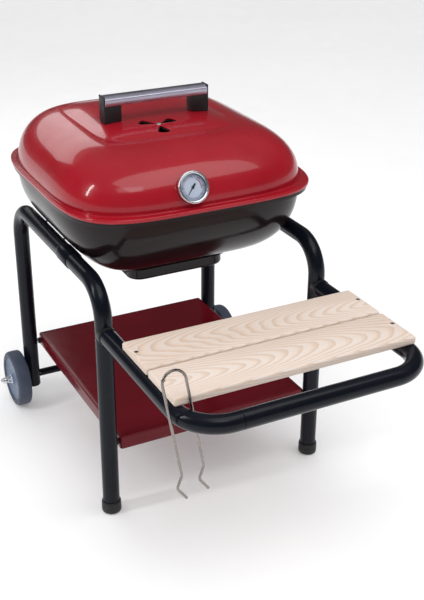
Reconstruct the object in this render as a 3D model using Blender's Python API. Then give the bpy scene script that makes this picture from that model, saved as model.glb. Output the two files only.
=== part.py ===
"""Square lidded charcoal grill on a wheeled tube frame, with a lower tray and a front wooden shelf.

Metres, +Z up, +X to the right seen from the front. The front shelf points along -Y.
The origin is on the floor, under the middle of the whole object.
"""
import math

import bmesh
import bpy
from mathutils import Matrix, Vector

# ---------------------------------------------------------------- driving dimensions
GAP = 0.0003                 # clearance between pieces that touch

TUBE_R = 0.019               # frame tube, outside radius
TUBE_WALL = 0.0015
TUBE_SIDES = 12
INSERT_R = (TUBE_R - TUBE_WALL) * math.cos(math.pi / TUBE_SIDES) - GAP
LEG_X = 0.2615               # both sides' tubes stand at +-LEG_X
FRONT_Y = -0.087             # axis of the front legs
REAR_Y = 0.459               # axis of the rear legs
RAIL_Z = 0.555               # axis of the level run under the bowl
LEG_BEND_R = 0.075
SEAM_Y = 0.078               # the front tube enters the rear tube here
SEAM_INSERT = 0.045
SOCKET_R = 0.0209
SOCKET_LENGTH = 0.055
REAR_END_Z = 0.047

FOOT_R = 0.0222
FOOT_HEIGHT = 0.030
FOOT_FLOOR = 0.006

AXLE_Z = 0.073
AXLE_R = 0.005
AXLE_BORE_R = 0.0055
WHEEL_R = AXLE_Z
WHEEL_IN_X = 0.2856
WHEEL_OUT_X = 0.3205
NUT_TIP_X = 0.349
AXLE_END_X = 0.335

TRAY_HALF_X = 0.2355
TRAY_FRONT_Y = -0.093
TRAY_REAR_Y = 0.464
TRAY_TOP_Z = 0.1907
TRAY_FLANGE = 0.031
SHEET = 0.0015
TRAY_BOLT_Z = 0.174
TRAY_BOLT_INSET = 0.014
BOLT_R = 0.0029
HOLE_R = 0.0033

LOOP_Z = 0.4573              # axis of the shelf loop
LOOP_FRONT_Y = -0.5130
LOOP_BEND_R = 0.083
LOOP_SEAM_X = -0.166
LOOP_INSERT = 0.040
SADDLE_FACE = 0.0253         # from the leg's axis to the start of the arm
SADDLE_R = (TUBE_R + GAP) / math.cos(math.pi / TUBE_SIDES)

PLANK_HALF_X = 0.270
PLANK_THICK = 0.0177
PLANK_WIDTH = 0.1195
PLANK_REAR_Y = -0.205
PLANK_GAP = 0.006
PLANK_ROUND = 0.0055
PLANK_SCREW_X = 0.2600
PLANK_SCREW_BACK = 0.050     # from a plank's rear edge to its screws

BOWL_Y = 0.216               # middle of bowl and lid
BOWL_TOP_Z = 0.6895
BOWL_WALL = 0.0015
BOWL_UPPER = (0.2910, 0.2885, 3.6, 0.678)
BOWL_LOWER = (0.1840, 0.1870, 7.0, 0.5283)
BOWL_CROWN = 0.010
BOWL_SIDE_CURVE = 0.74         # smaller is fuller: the side walls
BOWL_END_CURVE = 0.795         # the front and rear walls
BOWL_LIP = (0.2930, 0.3015, 4.4)
BOWL_LIP_DROP = 0.017

LID_SHEET = 0.0015
LID_BASE = (0.2878, 0.2820, 3.8, 0.6940)
LID_TOP = (0.1631, 0.1699, 5.6, 0.7996)
LID_TOP_SHIFT = 0.049        # the flat top sits this far behind the bowl's middle
LID_CROWN = 0.0107
LID_ROUND = 2.2                # power of the curve from the lid's foot to its top
LID_RIM = (0.2962, 0.3049, 4.43)
LID_RIM_Z = 0.6860
RING_POINTS = 32

VENT_X = -0.016
VENT_Y = 0.157
VENT_TILT = math.radians(4.5)
VENT_R = 0.046
VENT_INNER_R = 0.010
DAMPER_R = 0.051
DAMPER_DROP = 0.0052         # from the lid's top face to the damper's top face
PETAL_ANGLES = (22, 142, 262)

THERMO_X = -0.0405
THERMO_Z = 0.7325
THERMO_TILT = math.radians(24)
THERMO_R = 0.035
THERMO_STANDOFF = 0.0026

HANDLE_X = 0.004
HANDLE_Y = 0.224
HANDLE_HALF = 0.129
HANDLE_BAR_Z = 0.8470
HANDLE_BAR_H = 0.0210
HANDLE_BAR_D = 0.032
HANDLE_BLOCK = 0.041

PAN_Y = 0.213
PAN_HALF = (0.120, 0.131)
PAN_FLOOR_Z = 0.4655
PAN_TOP_Z = 0.4985
PAN_CORNER_R = 0.030
PAN_LIP = 0.010
PAN_RAIL_TOP = 0.5225

COOK_GRATE_Z = 0.648
COAL_GRATE_Z = 0.575
GRATE_THICK = 0.005

LIFTER_WIRE_R = 0.00275
LIFTER_OUTER = Vector((-0.2845, -0.4630))   # outer leg at the height of the loop's axis
LIFTER_INNER = Vector((-0.2338, -0.4532))
LIFTER_LEAN = 0.18                          # sideways per metre of drop
LIFTER_ARCH_Z = 0.535
LIFTER_KINK_Z = (0.334, 0.307, 0.280)
LIFTER_KINK = 0.015


# ---------------------------------------------------------------- materials
def material(name, colour, roughness, metallic=0.0):
    mat = bpy.data.materials.new(name)
    mat.use_nodes = True
    shader = mat.node_tree.nodes["Principled BSDF"]
    shader.inputs["Base Color"].default_value = (*colour, 1.0)
    shader.inputs["Roughness"].default_value = roughness
    shader.inputs["Metallic"].default_value = metallic
    return mat


for stale in list(bpy.data.objects):
    bpy.data.objects.remove(stale)

LID_RED = material("lid_red_enamel", (0.36, 0.010, 0.020), 0.12)
TRAY_RED = material("tray_dark_red_paint", (0.10, 0.006, 0.012), 0.35)
BOWL_BLACK = material("bowl_black_enamel", (0.012, 0.010, 0.011), 0.15)
TUBE_BLACK = material("tube_black_paint", (0.010, 0.011, 0.016), 0.22)
PLASTIC_BLACK = material("black_plastic", (0.015, 0.015, 0.017), 0.45)
WHEEL_GREY = material("blue_grey_plastic", (0.11, 0.15, 0.22), 0.50)
PINE = material("pale_pine", (0.72, 0.58, 0.46), 0.60)
ALUMINIUM = material("anodised_aluminium", (0.62, 0.62, 0.72), 0.30, 1.0)
CHROME = material("chrome_plate", (0.80, 0.80, 0.82), 0.08, 1.0)
STEEL = material("zinc_plated_steel", (0.60, 0.60, 0.58), 0.35, 1.0)
DIAL_WHITE = material("dial_white", (0.75, 0.78, 0.85), 0.50)
NEEDLE_BLACK = material("needle_black", (0.02, 0.02, 0.02), 0.40)
LENS_GLASS = material("lens_glass", (0.95, 0.97, 1.0), 0.02)


# ---------------------------------------------------------------- mesh helpers
def add_object(name, bm, mat, origin=Vector((0, 0, 0)), parent=None):
    """Turn a bmesh in world coordinates into an object whose origin is where a joint turns."""
    bmesh.ops.recalc_face_normals(bm, faces=bm.faces)
    bmesh.ops.translate(bm, verts=bm.verts, vec=-origin)
    mesh = bpy.data.meshes.new(name)
    bm.to_mesh(mesh)
    bm.free()
    mesh.shade_smooth()
    mesh.set_sharp_from_angle(angle=math.radians(35))
    mesh.materials.append(mat)
    obj = bpy.data.objects.new(name, mesh)
    obj.location = origin
    bpy.context.scene.collection.objects.link(obj)
    if parent is not None:
        obj.parent = parent
        obj.matrix_parent_inverse = Matrix.Translation(-parent.location)
    return obj


def add_pivot(name, place):
    """An empty on a moving group's joint."""
    pivot = bpy.data.objects.new(name, None)
    pivot.location = place
    bpy.context.scene.collection.objects.link(pivot)
    return pivot


def skin(rings, loop=False):
    """Join rings of points, in order. A ring of one point is a pole; loop joins last to first."""
    bm = bmesh.new()
    made = [[bm.verts.new(p) for p in ring] for ring in rings]
    pairs = list(zip(made, made[1:]))
    if loop:
        pairs.append((made[-1], made[0]))
    for first, second in pairs:
        count = max(len(first), len(second))
        for i in range(count):
            j = (i + 1) % count
            corners = []
            for vert in (first[i % len(first)], first[j % len(first)],
                         second[j % len(second)], second[i % len(second)]):
                if vert not in corners:
                    corners.append(vert)
            bm.faces.new(corners)
    if not loop:
        for ring in (made[0], made[-1]):
            if len(ring) > 1:
                bm.faces.new(ring)
    return bm


def turned(profile, place, axis, sides=20, closed=False):
    """A turned solid: profile is (radius, distance along axis from place)."""
    turn = Vector((0, 0, 1)).rotation_difference(Vector(axis).normalized()).to_matrix()
    rings = []
    for radius, height in profile:
        count = sides if radius > 0 else 1
        rings.append([Vector(place) + turn @ Vector((radius * math.cos(math.tau * k / sides),
                                                     radius * math.sin(math.tau * k / sides),
                                                     height)) for k in range(count)])
    return skin(rings, closed)


def rod(place, axis, radius, start, end, sides=12):
    return turned([(radius, start), (radius, end)], place, axis, sides)


def ellipse_ring(half_x, half_y, power, centre_y, z, count=RING_POINTS):
    """A rounded square: a superellipse of the given power."""
    ring = []
    for k in range(count):
        angle = math.tau * k / count
        c, s = math.cos(angle), math.sin(angle)
        ring.append(Vector((half_x * math.copysign(abs(c) ** (2 / power), c),
                            centre_y + half_y * math.copysign(abs(s) ** (2 / power), s), z)))
    return ring


def rounded_rect(half_x, half_y, radius, centre_y, z, steps=5):
    ring = []
    for quarter in range(4):
        sx = (1, -1, -1, 1)[quarter]
        sy = (1, 1, -1, -1)[quarter]
        for k in range(steps + 1):
            angle = math.pi / 2 * (quarter + k / steps)
            ring.append(Vector((sx * (half_x - radius) + radius * math.cos(angle),
                                centre_y + sy * (half_y - radius) + radius * math.sin(angle), z)))
    return ring


def box(low, high, bevel=0.0, segments=2):
    bm = bmesh.new()
    bmesh.ops.create_cube(bm, size=1.0)
    size = Vector(high) - Vector(low)
    bmesh.ops.scale(bm, verts=bm.verts, vec=size)
    bmesh.ops.translate(bm, verts=bm.verts, vec=(Vector(high) + Vector(low)) / 2)
    if bevel:
        bmesh.ops.bevel(bm, geom=bm.edges, offset=bevel, segments=segments, profile=0.5,
                        affect="EDGES")
    return bm


def prism(outline, place, axis, start, end):
    """An outline in the plane square to axis, pulled from start to end along it."""
    turn = Vector((0, 0, 1)).rotation_difference(Vector(axis).normalized()).to_matrix()
    return skin([[Vector(place) + turn @ Vector((x, y, h)) for x, y in outline]
                 for h in (start, end)])


def cut(target, bm, name):
    """Take a shape out of target; the cutter stays as a hidden guide."""
    cutter = add_object(name, bm, STEEL)
    cutter.hide_render = True
    cutter.display_type = "WIRE"
    modifier = target.modifiers.new(name, "BOOLEAN")
    modifier.operation = "DIFFERENCE"
    modifier.object = cutter


def join_shapes(parts):
    """Several closed shapes in one bmesh, for cutters."""
    whole = bmesh.new()
    for part in parts:
        mesh = bpy.data.meshes.new("piece")
        part.to_mesh(mesh)
        part.free()
        whole.from_mesh(mesh)
        bpy.data.meshes.remove(mesh)
    return whole


def route(corners, bend_r, steps=4):
    """Straight runs joined by arcs of bend_r, as (point, direction) stations."""
    stations = [(corners[0], (corners[1] - corners[0]).normalized())]
    for before, corner, after in zip(corners, corners[1:], corners[2:]):
        along = (corner - before).normalized()
        away = (after - corner).normalized()
        turn = along.angle(away)
        inward = (away - along * along.dot(away)).normalized()
        start = corner - along * bend_r * math.tan(turn / 2)
        centre = start + inward * bend_r
        for k in range(steps + 1):
            angle = turn * k / steps
            point = centre + bend_r * (along * math.sin(angle) - inward * math.cos(angle))
            stations.append((point, along * math.cos(angle) + inward * math.sin(angle)))
    stations.append((corners[-1], (corners[-1] - corners[-2]).normalized()))
    return stations


def circle_on(point, direction, side, radius, sides=TUBE_SIDES):
    up = direction.cross(side).normalized()
    return [point + radius * (side * math.cos(math.tau * k / sides)
                              + up * math.sin(math.tau * k / sides)) for k in range(sides)]


def pipe(stations, side, sides=TUBE_SIDES):
    """An open-ended tube through (point, direction, outside radius, inside radius) stations."""
    outer = [circle_on(p, d, side, r_out, sides) for p, d, r_out, r_in in stations]
    inner = [circle_on(p, d, side, r_in, sides) for p, d, r_out, r_in in reversed(stations)]
    return skin(outer + inner, loop=True)


def plain(stations, radius=TUBE_R, wall=TUBE_WALL):
    return [(point, direction, radius, radius - wall) for point, direction in stations]


# ---------------------------------------------------------------- lid and bowl surfaces
def lid_level(u):
    """Half sizes, power, centre and height of the lid's outside, from its foot (0) to the top edge (1)."""
    wide = math.sqrt(1 - u ** LID_ROUND)
    base, top = LID_BASE, LID_TOP
    half_x, half_y, power = (top[i] + (base[i] - top[i]) * wide for i in range(3))
    centre = BOWL_Y + LID_TOP_SHIFT * (1 - wide)
    return half_x, half_y, power, centre, base[3] + (top[3] - base[3]) * u


def lid_crown(share):
    """The gently domed top, share is the fraction of its outline's size."""
    half_x, half_y, power, z = LID_TOP
    return (half_x * share, half_y * share, power, BOWL_Y + LID_TOP_SHIFT,
            z + LID_CROWN * (1 - share ** 4))


def lid_top_z(x, y):
    half_x, half_y, power, z = LID_TOP
    reach = (abs(x / half_x) ** power
             + abs((y - BOWL_Y - LID_TOP_SHIFT) / half_y) ** power) ** (1 / power)
    return z + LID_CROWN * (1 - reach ** 4)


def bowl_level(u):
    """The bowl's outside, from under the lip (0) down to the edge of its floor (1)."""
    curve = max(0.0, 1 - u ** 2)
    shares = (curve ** BOWL_SIDE_CURVE, curve ** BOWL_END_CURVE, curve ** BOWL_END_CURVE)
    upper, lower = BOWL_UPPER, BOWL_LOWER
    half_x, half_y, power = (lower[i] + (upper[i] - lower[i]) * shares[i] for i in range(3))
    return half_x, half_y, power, BOWL_Y, upper[3] + (lower[3] - upper[3]) * u


def bowl_floor(share):
    half_x, half_y, power, z = BOWL_LOWER
    return half_x * share, half_y * share, power, BOWL_Y, z - BOWL_CROWN * (1 - share ** 2)


# ---------------------------------------------------------------- frame
def leg_stations_front(sign):
    corners = [Vector((sign * LEG_X, FRONT_Y, FOOT_FLOOR + GAP)),
               Vector((sign * LEG_X, FRONT_Y, RAIL_Z)),
               Vector((sign * LEG_X, SEAM_Y + SEAM_INSERT, RAIL_Z))]
    return plain(route(corners, LEG_BEND_R))


def leg_stations_rear(sign):
    socket_start = SEAM_Y + SOCKET_LENGTH
    corners = [Vector((sign * LEG_X, REAR_Y, REAR_END_Z)),
               Vector((sign * LEG_X, REAR_Y, RAIL_Z)),
               Vector((sign * LEG_X, socket_start + 0.008, RAIL_Z))]
    stations = plain(route(corners, LEG_BEND_R))
    forward = Vector((0, -1, 0))
    for y in (socket_start, SEAM_Y):
        stations.append((Vector((sign * LEG_X, y, RAIL_Z)), forward, SOCKET_R, TUBE_R + GAP))
    return stations


def bowl_bolt_line(sign, y):
    """Where a bolt goes square through the bowl's wall towards the tube's axis."""
    axis_point = Vector((sign * LEG_X, y, RAIL_Z))
    best = None
    for k in range(60):
        half_x, half_y, power, centre, z = bowl_level(0.5 + 0.4 * k / 60)
        x = sign * half_x * (1 - abs((y - centre) / half_y) ** power) ** (1 / power)
        distance = (Vector((x, y, z)) - axis_point).length
        if best is None or distance < best[0]:
            best = (distance, Vector((x, y, z)))
    return best[1], (axis_point - best[1]).normalized(), best[0]


BOWL_BOLT_Y = {"front": 0.175, "rear": 0.295}
SIDES = {"left": -1, "right": 1}
ACROSS = Vector((1, 0, 0))

for side, sign in SIDES.items():
    front_leg = add_object(f"front_leg_{side}", pipe(leg_stations_front(sign), ACROSS), TUBE_BLACK)
    rear_leg = add_object(f"rear_leg_{side}", pipe(leg_stations_rear(sign), ACROSS), TUBE_BLACK)
    wall_x = sign * (LEG_X - TUBE_R)
    tray_bolts = {"front": (front_leg, TRAY_FRONT_Y + TRAY_BOLT_INSET),
                  "rear": (rear_leg, TRAY_REAR_Y - TRAY_BOLT_INSET)}
    for end, (leg, y) in tray_bolts.items():
        place = Vector((wall_x, y, TRAY_BOLT_Z))
        cut(leg, rod(place, (sign, 0, 0), HOLE_R, -0.004, 0.010), f"cut_leg_tray_{end}_{side}")
    cut(front_leg, rod((sign * LEG_X, FRONT_Y, LOOP_Z), (0, 1, 0), HOLE_R, -0.03, 0.03),
        f"cut_leg_loop_{side}")
    cut(rear_leg, rod((sign * LEG_X, REAR_Y, AXLE_Z), (1, 0, 0), AXLE_BORE_R, -0.03, 0.03),
        f"cut_leg_axle_{side}")
    holes = []
    for y in BOWL_BOLT_Y.values():
        wall_point, inward, reach = bowl_bolt_line(sign, y)
        holes.append(rod(wall_point, inward, HOLE_R, reach - TUBE_R - 0.004, reach - 0.008))
    cut(rear_leg, join_shapes(holes), f"cut_leg_bowl_{side}")

    foot = [(0, 0), (FOOT_R * 0.78, 0), (FOOT_R * 0.93, 0.003), (FOOT_R, 0.009),
            (FOOT_R, FOOT_HEIGHT - 0.008), (TUBE_R + 0.0012, FOOT_HEIGHT),
            (TUBE_R + GAP, FOOT_HEIGHT), (TUBE_R + GAP, FOOT_FLOOR), (0, FOOT_FLOOR)]
    add_object(f"front_foot_{side}", turned(foot, (sign * LEG_X, FRONT_Y, 0), (0, 0, 1)),
               PLASTIC_BLACK)
    plug = [(0, -0.005), (TUBE_R * 0.6, -0.0045), (TUBE_R * 0.92, -0.002), (TUBE_R, -GAP),
            (INSERT_R, -GAP), (INSERT_R, 0.012), (0, 0.012)]
    add_object(f"rear_plug_{side}", turned(plug, (sign * LEG_X, REAR_Y, REAR_END_Z), (0, 0, 1), 16),
               PLASTIC_BLACK)


# ---------------------------------------------------------------- axle and wheels
add_object("axle_rod", rod((0, REAR_Y, AXLE_Z), (1, 0, 0), AXLE_R, -AXLE_END_X, AXLE_END_X),
           STEEL)
SPACER_HALF = LEG_X - TUBE_R - GAP
spacer_profile = [(0.0095, -SPACER_HALF), (0.0095, SPACER_HALF),
                  (AXLE_BORE_R, SPACER_HALF), (AXLE_BORE_R, -SPACER_HALF)]
add_object("axle_spacer_tube", turned(spacer_profile, (0, REAR_Y, AXLE_Z), (1, 0, 0), 20, True),
           TUBE_BLACK)


def wheel_profile():
    """Bored wheel: hub bosses, a web, and a tyre with rounded shoulders."""
    web_in, web_out = 0.2960, 0.3145
    return [(AXLE_BORE_R, LEG_X + TUBE_R + GAP), (0.013, LEG_X + TUBE_R + GAP), (0.016, web_in),
            (0.054, web_in), (0.058, WHEEL_IN_X), (WHEEL_R - 0.006, WHEEL_IN_X),
            (WHEEL_R - 0.0018, WHEEL_IN_X + 0.0018), (WHEEL_R, WHEEL_IN_X + 0.006),
            (WHEEL_R, WHEEL_OUT_X - 0.009), (WHEEL_R - 0.003, WHEEL_OUT_X - 0.0035),
            (WHEEL_R - 0.010, WHEEL_OUT_X), (0.057, WHEEL_OUT_X - 0.0012), (0.054, web_out),
            (0.016, web_out), (0.0125, 0.3188), (AXLE_BORE_R, 0.3188)]


def cap_nut_profile():
    """Blind bore first, then the washer face, the body and the domed tip."""
    bore = AXLE_R + GAP
    start = 0.3191
    return [(0, AXLE_END_X + 0.001), (bore, AXLE_END_X + GAP), (bore, start), (0.0118, start),
            (0.0118, start + 0.0018), (0.0098, start + 0.0022), (0.0098, 0.3360),
            (0.0093, 0.3410), (0.0074, 0.3455), (0.0040, 0.3482), (0, NUT_TIP_X)]


for side, sign in SIDES.items():
    hub = Vector((sign * LEG_X, REAR_Y, AXLE_Z))
    centre = Vector((0, REAR_Y, AXLE_Z))
    wheel = turned(wheel_profile(), centre, (sign, 0, 0), 24, True)
    add_object(f"wheel_{side}", wheel, WHEEL_GREY, origin=hub)
    add_object(f"wheel_cap_nut_{side}", turned(cap_nut_profile(), centre, (sign, 0, 0), 14),
               CHROME)


# ---------------------------------------------------------------- lower tray
def tray_shell():
    """A sheet tray, open below, with turned-down flanges and small corner radii."""
    half_y = (TRAY_REAR_Y - TRAY_FRONT_Y) / 2
    middle = (TRAY_REAR_Y + TRAY_FRONT_Y) / 2
    low = TRAY_TOP_Z - TRAY_FLANGE
    levels = [(0.0025, TRAY_TOP_Z), (0.0007, TRAY_TOP_Z - 0.0007), (0, TRAY_TOP_Z - 0.0025),
              (0, low), (SHEET, low), (SHEET, TRAY_TOP_Z - 0.0028),
              (0.0028, TRAY_TOP_Z - SHEET)]
    return skin([rounded_rect(TRAY_HALF_X - inset, half_y - inset, 0.0055 - inset, middle, z, 3)
                 for inset, z in levels])


tray = add_object("lower_tray", tray_shell(), TRAY_RED)
tray_holes = []
for side, sign in SIDES.items():
    for end, y in (("front", TRAY_FRONT_Y + TRAY_BOLT_INSET), ("rear", TRAY_REAR_Y - TRAY_BOLT_INSET)):
        face = Vector((sign * TRAY_HALF_X, y, TRAY_BOLT_Z))
        leg_gap = LEG_X - TUBE_R - TRAY_HALF_X
        ring = [(HOLE_R, GAP), (0.0075, GAP), (0.0075, leg_gap - GAP), (HOLE_R, leg_gap - GAP)]
        add_object(f"tray_spacer_{end}_{side}", turned(ring, face, (sign, 0, 0), 12, True),
                   PLASTIC_BLACK)
        bolt = [(0, -0.0065), (0.0048, -0.0058), (0.0058, -0.0040), (0.0058, -SHEET - GAP),
                (BOLT_R, -SHEET - GAP), (BOLT_R, leg_gap + 0.009), (0, leg_gap + 0.009)]
        add_object(f"tray_bolt_{end}_{side}", turned(bolt, face, (sign, 0, 0), 10), STEEL)
        tray_holes.append(rod(face, (sign, 0, 0), HOLE_R, -0.004, 0.003))
cut(tray, join_shapes(tray_holes), "cut_tray_holes")


# ---------------------------------------------------------------- front shelf
UP = Vector((0, 0, 1))
ARM_START_Y = FRONT_Y - SADDLE_FACE - GAP


def loop_arm(sign, end_x):
    corners = [Vector((sign * LEG_X, ARM_START_Y, LOOP_Z)),
               Vector((sign * LEG_X, LOOP_FRONT_Y, LOOP_Z)),
               Vector((end_x, LOOP_FRONT_Y, LOOP_Z))]
    return plain(route(corners, LOOP_BEND_R, 6))


left_arm = loop_arm(-1, LOOP_SEAM_X - GAP)
NECK_R = TUBE_R - TUBE_WALL - GAP
for x in (LOOP_SEAM_X, LOOP_SEAM_X + LOOP_INSERT):
    left_arm.append((Vector((x, LOOP_FRONT_Y, LOOP_Z)), ACROSS, NECK_R, NECK_R - TUBE_WALL))
left_arm[-3] = (*left_arm[-3][:3], NECK_R - TUBE_WALL)
loops = {"left": add_object("shelf_loop_left", pipe(left_arm, UP), TUBE_BLACK),
         "right": add_object("shelf_loop_right", pipe(loop_arm(1, LOOP_SEAM_X), UP), TUBE_BLACK)}

for side, sign in SIDES.items():
    leg_axis = Vector((sign * LEG_X, FRONT_Y, LOOP_Z))
    saddle = [(0, 0.045), (HOLE_R, 0.045), (HOLE_R, 0.006), (0.0206, 0.006),
              (0.0206, SADDLE_FACE - 0.0015), (0.0196, SADDLE_FACE), (INSERT_R, SADDLE_FACE),
              (INSERT_R, 0.053), (INSERT_R - 0.002, 0.055), (0, 0.055)]
    saddle_object = add_object(f"loop_saddle_{side}", turned(saddle, leg_axis, (0, -1, 0)),
                               PLASTIC_BLACK)
    cut(saddle_object, rod(leg_axis, (0, 0, 1), SADDLE_R, -0.04, 0.04, TUBE_SIDES),
        f"cut_saddle_{side}")
    bolt = [(0, -0.0245), (0.0050, -0.0240), (0.0062, -0.0225), (0.0062, -TUBE_R - GAP),
            (BOLT_R, -TUBE_R - GAP), (BOLT_R, 0.043), (0, 0.043)]
    add_object(f"loop_bolt_{side}", turned(bolt, leg_axis, (0, -1, 0), 12), STEEL)

PLANK_LOW = LOOP_Z + TUBE_R + GAP
PLANK_TOP = PLANK_LOW + PLANK_THICK
PLANK_REARS = {"rear": PLANK_REAR_Y, "front": PLANK_REAR_Y - PLANK_WIDTH - PLANK_GAP}
loop_holes = {"left": [], "right": []}
for end, rear_y in PLANK_REARS.items():
    plank = add_object(f"plank_{end}", box((-PLANK_HALF_X, rear_y - PLANK_WIDTH, PLANK_LOW),
                                           (PLANK_HALF_X, rear_y, PLANK_TOP), PLANK_ROUND),
                       PINE)
    plank_holes = []
    for side, sign in SIDES.items():
        place = Vector((sign * PLANK_SCREW_X, rear_y - PLANK_SCREW_BACK, PLANK_TOP))
        screw = [(0, -0.0004), (0.0042, -0.0004), (0.0042, -0.0009), (0.0019, -0.0034),
                 (0.0019, -0.0280), (0, -0.0295)]
        add_object(f"plank_screw_{end}_{side}", turned(screw, place, (0, 0, 1), 12), STEEL)
        plank_holes.append(turned([(0.0046, 0.001), (0.0046, -0.0010), (0.0023, -0.0036),
                                   (0.0023, -0.020)], place, (0, 0, 1), 12))
        loop_holes[side].append(rod(place, (0, 0, 1), 0.0023, -0.024, -0.014))
    cut(plank, join_shapes(plank_holes), f"cut_plank_{end}")
for side, shapes in loop_holes.items():
    cut(loops[side], join_shapes(shapes), f"cut_loop_{side}")


# ---------------------------------------------------------------- bowl
def bowl_levels():
    levels = [bowl_floor(share) for share in (0.35, 0.75)]
    levels += [bowl_level(u) for u in (1.0, 0.97, 0.88, 0.72, 0.50, 0.24, 0.0)]
    half_x, half_y, power = BOWL_LIP
    lip_z = BOWL_TOP_Z + BOWL_WALL
    upper = BOWL_UPPER
    levels += [(upper[0] - 0.0005, upper[1] + 0.001, 3.7, BOWL_Y, lip_z - BOWL_WALL - 0.004)]
    return levels, (half_x, half_y, power, lip_z)


def bowl_shell():
    """Bowl of even sheet with a lip that turns out and down, all one closed skin."""
    levels, (half_x, half_y, power, lip_z) = bowl_levels()
    outside = [ellipse_ring(*level) for level in levels]
    wall = BOWL_WALL
    top = levels[-1]
    outside += [ellipse_ring(half_x - 0.004, half_y - 0.006, power, BOWL_Y, lip_z - wall),
                ellipse_ring(half_x - wall, half_y - wall, power, BOWL_Y, lip_z - 0.003),
                ellipse_ring(half_x - wall, half_y - wall, power, BOWL_Y, lip_z - BOWL_LIP_DROP),
                ellipse_ring(half_x, half_y, power, BOWL_Y, lip_z - BOWL_LIP_DROP),
                ellipse_ring(half_x, half_y, power, BOWL_Y, lip_z - 0.002),
                ellipse_ring(half_x - 0.002, half_y - 0.002, power, BOWL_Y, lip_z),
                ellipse_ring(top[0] - wall, top[1] - wall, power, BOWL_Y, lip_z)]
    inner = []
    for half_x, half_y, power, centre, z in reversed(levels[2:-1]):
        slope = (BOWL_UPPER[3] - z) / (BOWL_UPPER[3] - BOWL_LOWER[3])
        inner.append((half_x - wall, half_y - wall, power, centre, z + wall * slope))
    for half_x, half_y, power, centre, z in reversed(levels[:2]):
        inner.append((half_x, half_y, power, centre, z + wall))
    return skin(outside + [ellipse_ring(*level) for level in inner])


bowl = add_object("bowl_shell", bowl_shell(), BOWL_BLACK)
bowl_cutters = []
for side, sign in SIDES.items():
    for end, y in BOWL_BOLT_Y.items():
        wall_point, inward, reach = bowl_bolt_line(sign, y)
        head = -0.0022 - BOWL_WALL
        bolt = [(0, head - 0.004), (0.0050, head - 0.0033), (0.0062, head - 0.002), (0.0062, head),
                (BOLT_R, head), (BOLT_R, reach - 0.012), (0, reach - 0.012)]
        add_object(f"bowl_bolt_{end}_{side}", turned(bolt, wall_point, inward, 12), STEEL)
        bowl_cutters.append(rod(wall_point, inward, HOLE_R, -0.006, 0.002))
for out in (Vector((0, 1, 0)), Vector((0, -1, 0))):
    across = Vector((-out.y, out.x, 0))
    slot = [out * 0.020 - across * 0.006, out * 0.070 - across * 0.016,
            out * 0.070 + across * 0.016, out * 0.020 + across * 0.006]
    bowl_cutters.append(prism([(p.x, p.y) for p in slot], (0, BOWL_Y, 0.505), (0, 0, 1), 0, 0.03))
cut(bowl, join_shapes(bowl_cutters), "cut_bowl_openings")


# ---------------------------------------------------------------- ash pan and its rails
def pan_shell():
    low_half, lip_half = PAN_HALF
    lip_z = PAN_TOP_Z
    levels = [(low_half - 0.010, PAN_FLOOR_Z, PAN_CORNER_R - 0.010),
              (low_half - 0.003, PAN_FLOOR_Z + 0.002, PAN_CORNER_R - 0.003),
              (low_half, PAN_FLOOR_Z + 0.008, PAN_CORNER_R),
              (low_half, lip_z - SHEET, PAN_CORNER_R),
              (lip_half, lip_z - SHEET, PAN_CORNER_R + PAN_LIP),
              (lip_half, lip_z, PAN_CORNER_R + PAN_LIP),
              (low_half - SHEET, lip_z, PAN_CORNER_R - SHEET),
              (low_half - SHEET, PAN_FLOOR_Z + 0.009, PAN_CORNER_R - SHEET),
              (low_half - 0.010, PAN_FLOOR_Z + SHEET, PAN_CORNER_R - 0.010)]
    return skin([rounded_rect(half, half, r, PAN_Y, z, 4) for half, z, r in levels])


add_object("ash_pan", pan_shell(), BOWL_BLACK, origin=Vector((0, PAN_Y, PAN_TOP_Z)))
for side, sign in SIDES.items():
    lip_z = PAN_TOP_Z - SHEET - GAP
    web_x = PAN_HALF[1] + 0.0012
    outline = [(PAN_HALF[0] + 0.002, lip_z - SHEET), (web_x + SHEET, lip_z - SHEET),
               (web_x + SHEET, PAN_RAIL_TOP - SHEET), (web_x + 0.013, PAN_RAIL_TOP - SHEET),
               (web_x + 0.013, PAN_RAIL_TOP), (web_x, PAN_RAIL_TOP), (web_x, lip_z),
               (PAN_HALF[0] + 0.002, lip_z)]
    ends = (PAN_Y - 0.118, PAN_Y + 0.118)
    rail = skin([[Vector((sign * x, y, z)) for x, z in outline] for y in ends])
    add_object(f"ash_pan_rail_{side}", rail, BOWL_BLACK)


# ---------------------------------------------------------------- grates
def grate(name, half_x, half_y, power, z, bars, bar, ribs):
    """A flat lattice: bars run front to back, joined by an edge band and cross ribs."""
    edge = half_x * 0.93
    pitch = (2 * edge - bar) / (bars - 1)
    lines = []
    for k in range(bars):
        lines += [-edge + k * pitch, -edge + k * pitch + bar]
    band = 0.008
    bm = bmesh.new()
    columns = []
    for x in lines:
        reach = half_y * (1 - abs(x / half_x) ** power) ** (1 / power)
        stops = [-reach, -reach + band]
        for rib in ribs:
            stops += [rib - bar / 2, rib + bar / 2]
        stops += [reach - band, reach]
        columns.append([[bm.verts.new((x, BOWL_Y + y, z + h)) for h in (0, GRATE_THICK)]
                        for y in stops])
    rows = len(columns[0]) - 1
    solid = {(c, r) for c in range(len(columns) - 1) for r in range(rows)
             if c % 2 == 0 or r % 2 == 0}
    for c, r in sorted(solid):
        a, b = columns[c][r], columns[c + 1][r]
        d, e = columns[c][r + 1], columns[c + 1][r + 1]
        bm.faces.new((a[0], d[0], e[0], b[0]))
        bm.faces.new((a[1], b[1], e[1], d[1]))
        for cell, low, high in (((c - 1, r), d, a), ((c + 1, r), b, e),
                                ((c, r - 1), a, b), ((c, r + 1), e, d)):
            if cell not in solid:
                bm.faces.new((low[0], high[0], high[1], low[1]))
    add_object(name, bm, STEEL)


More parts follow.
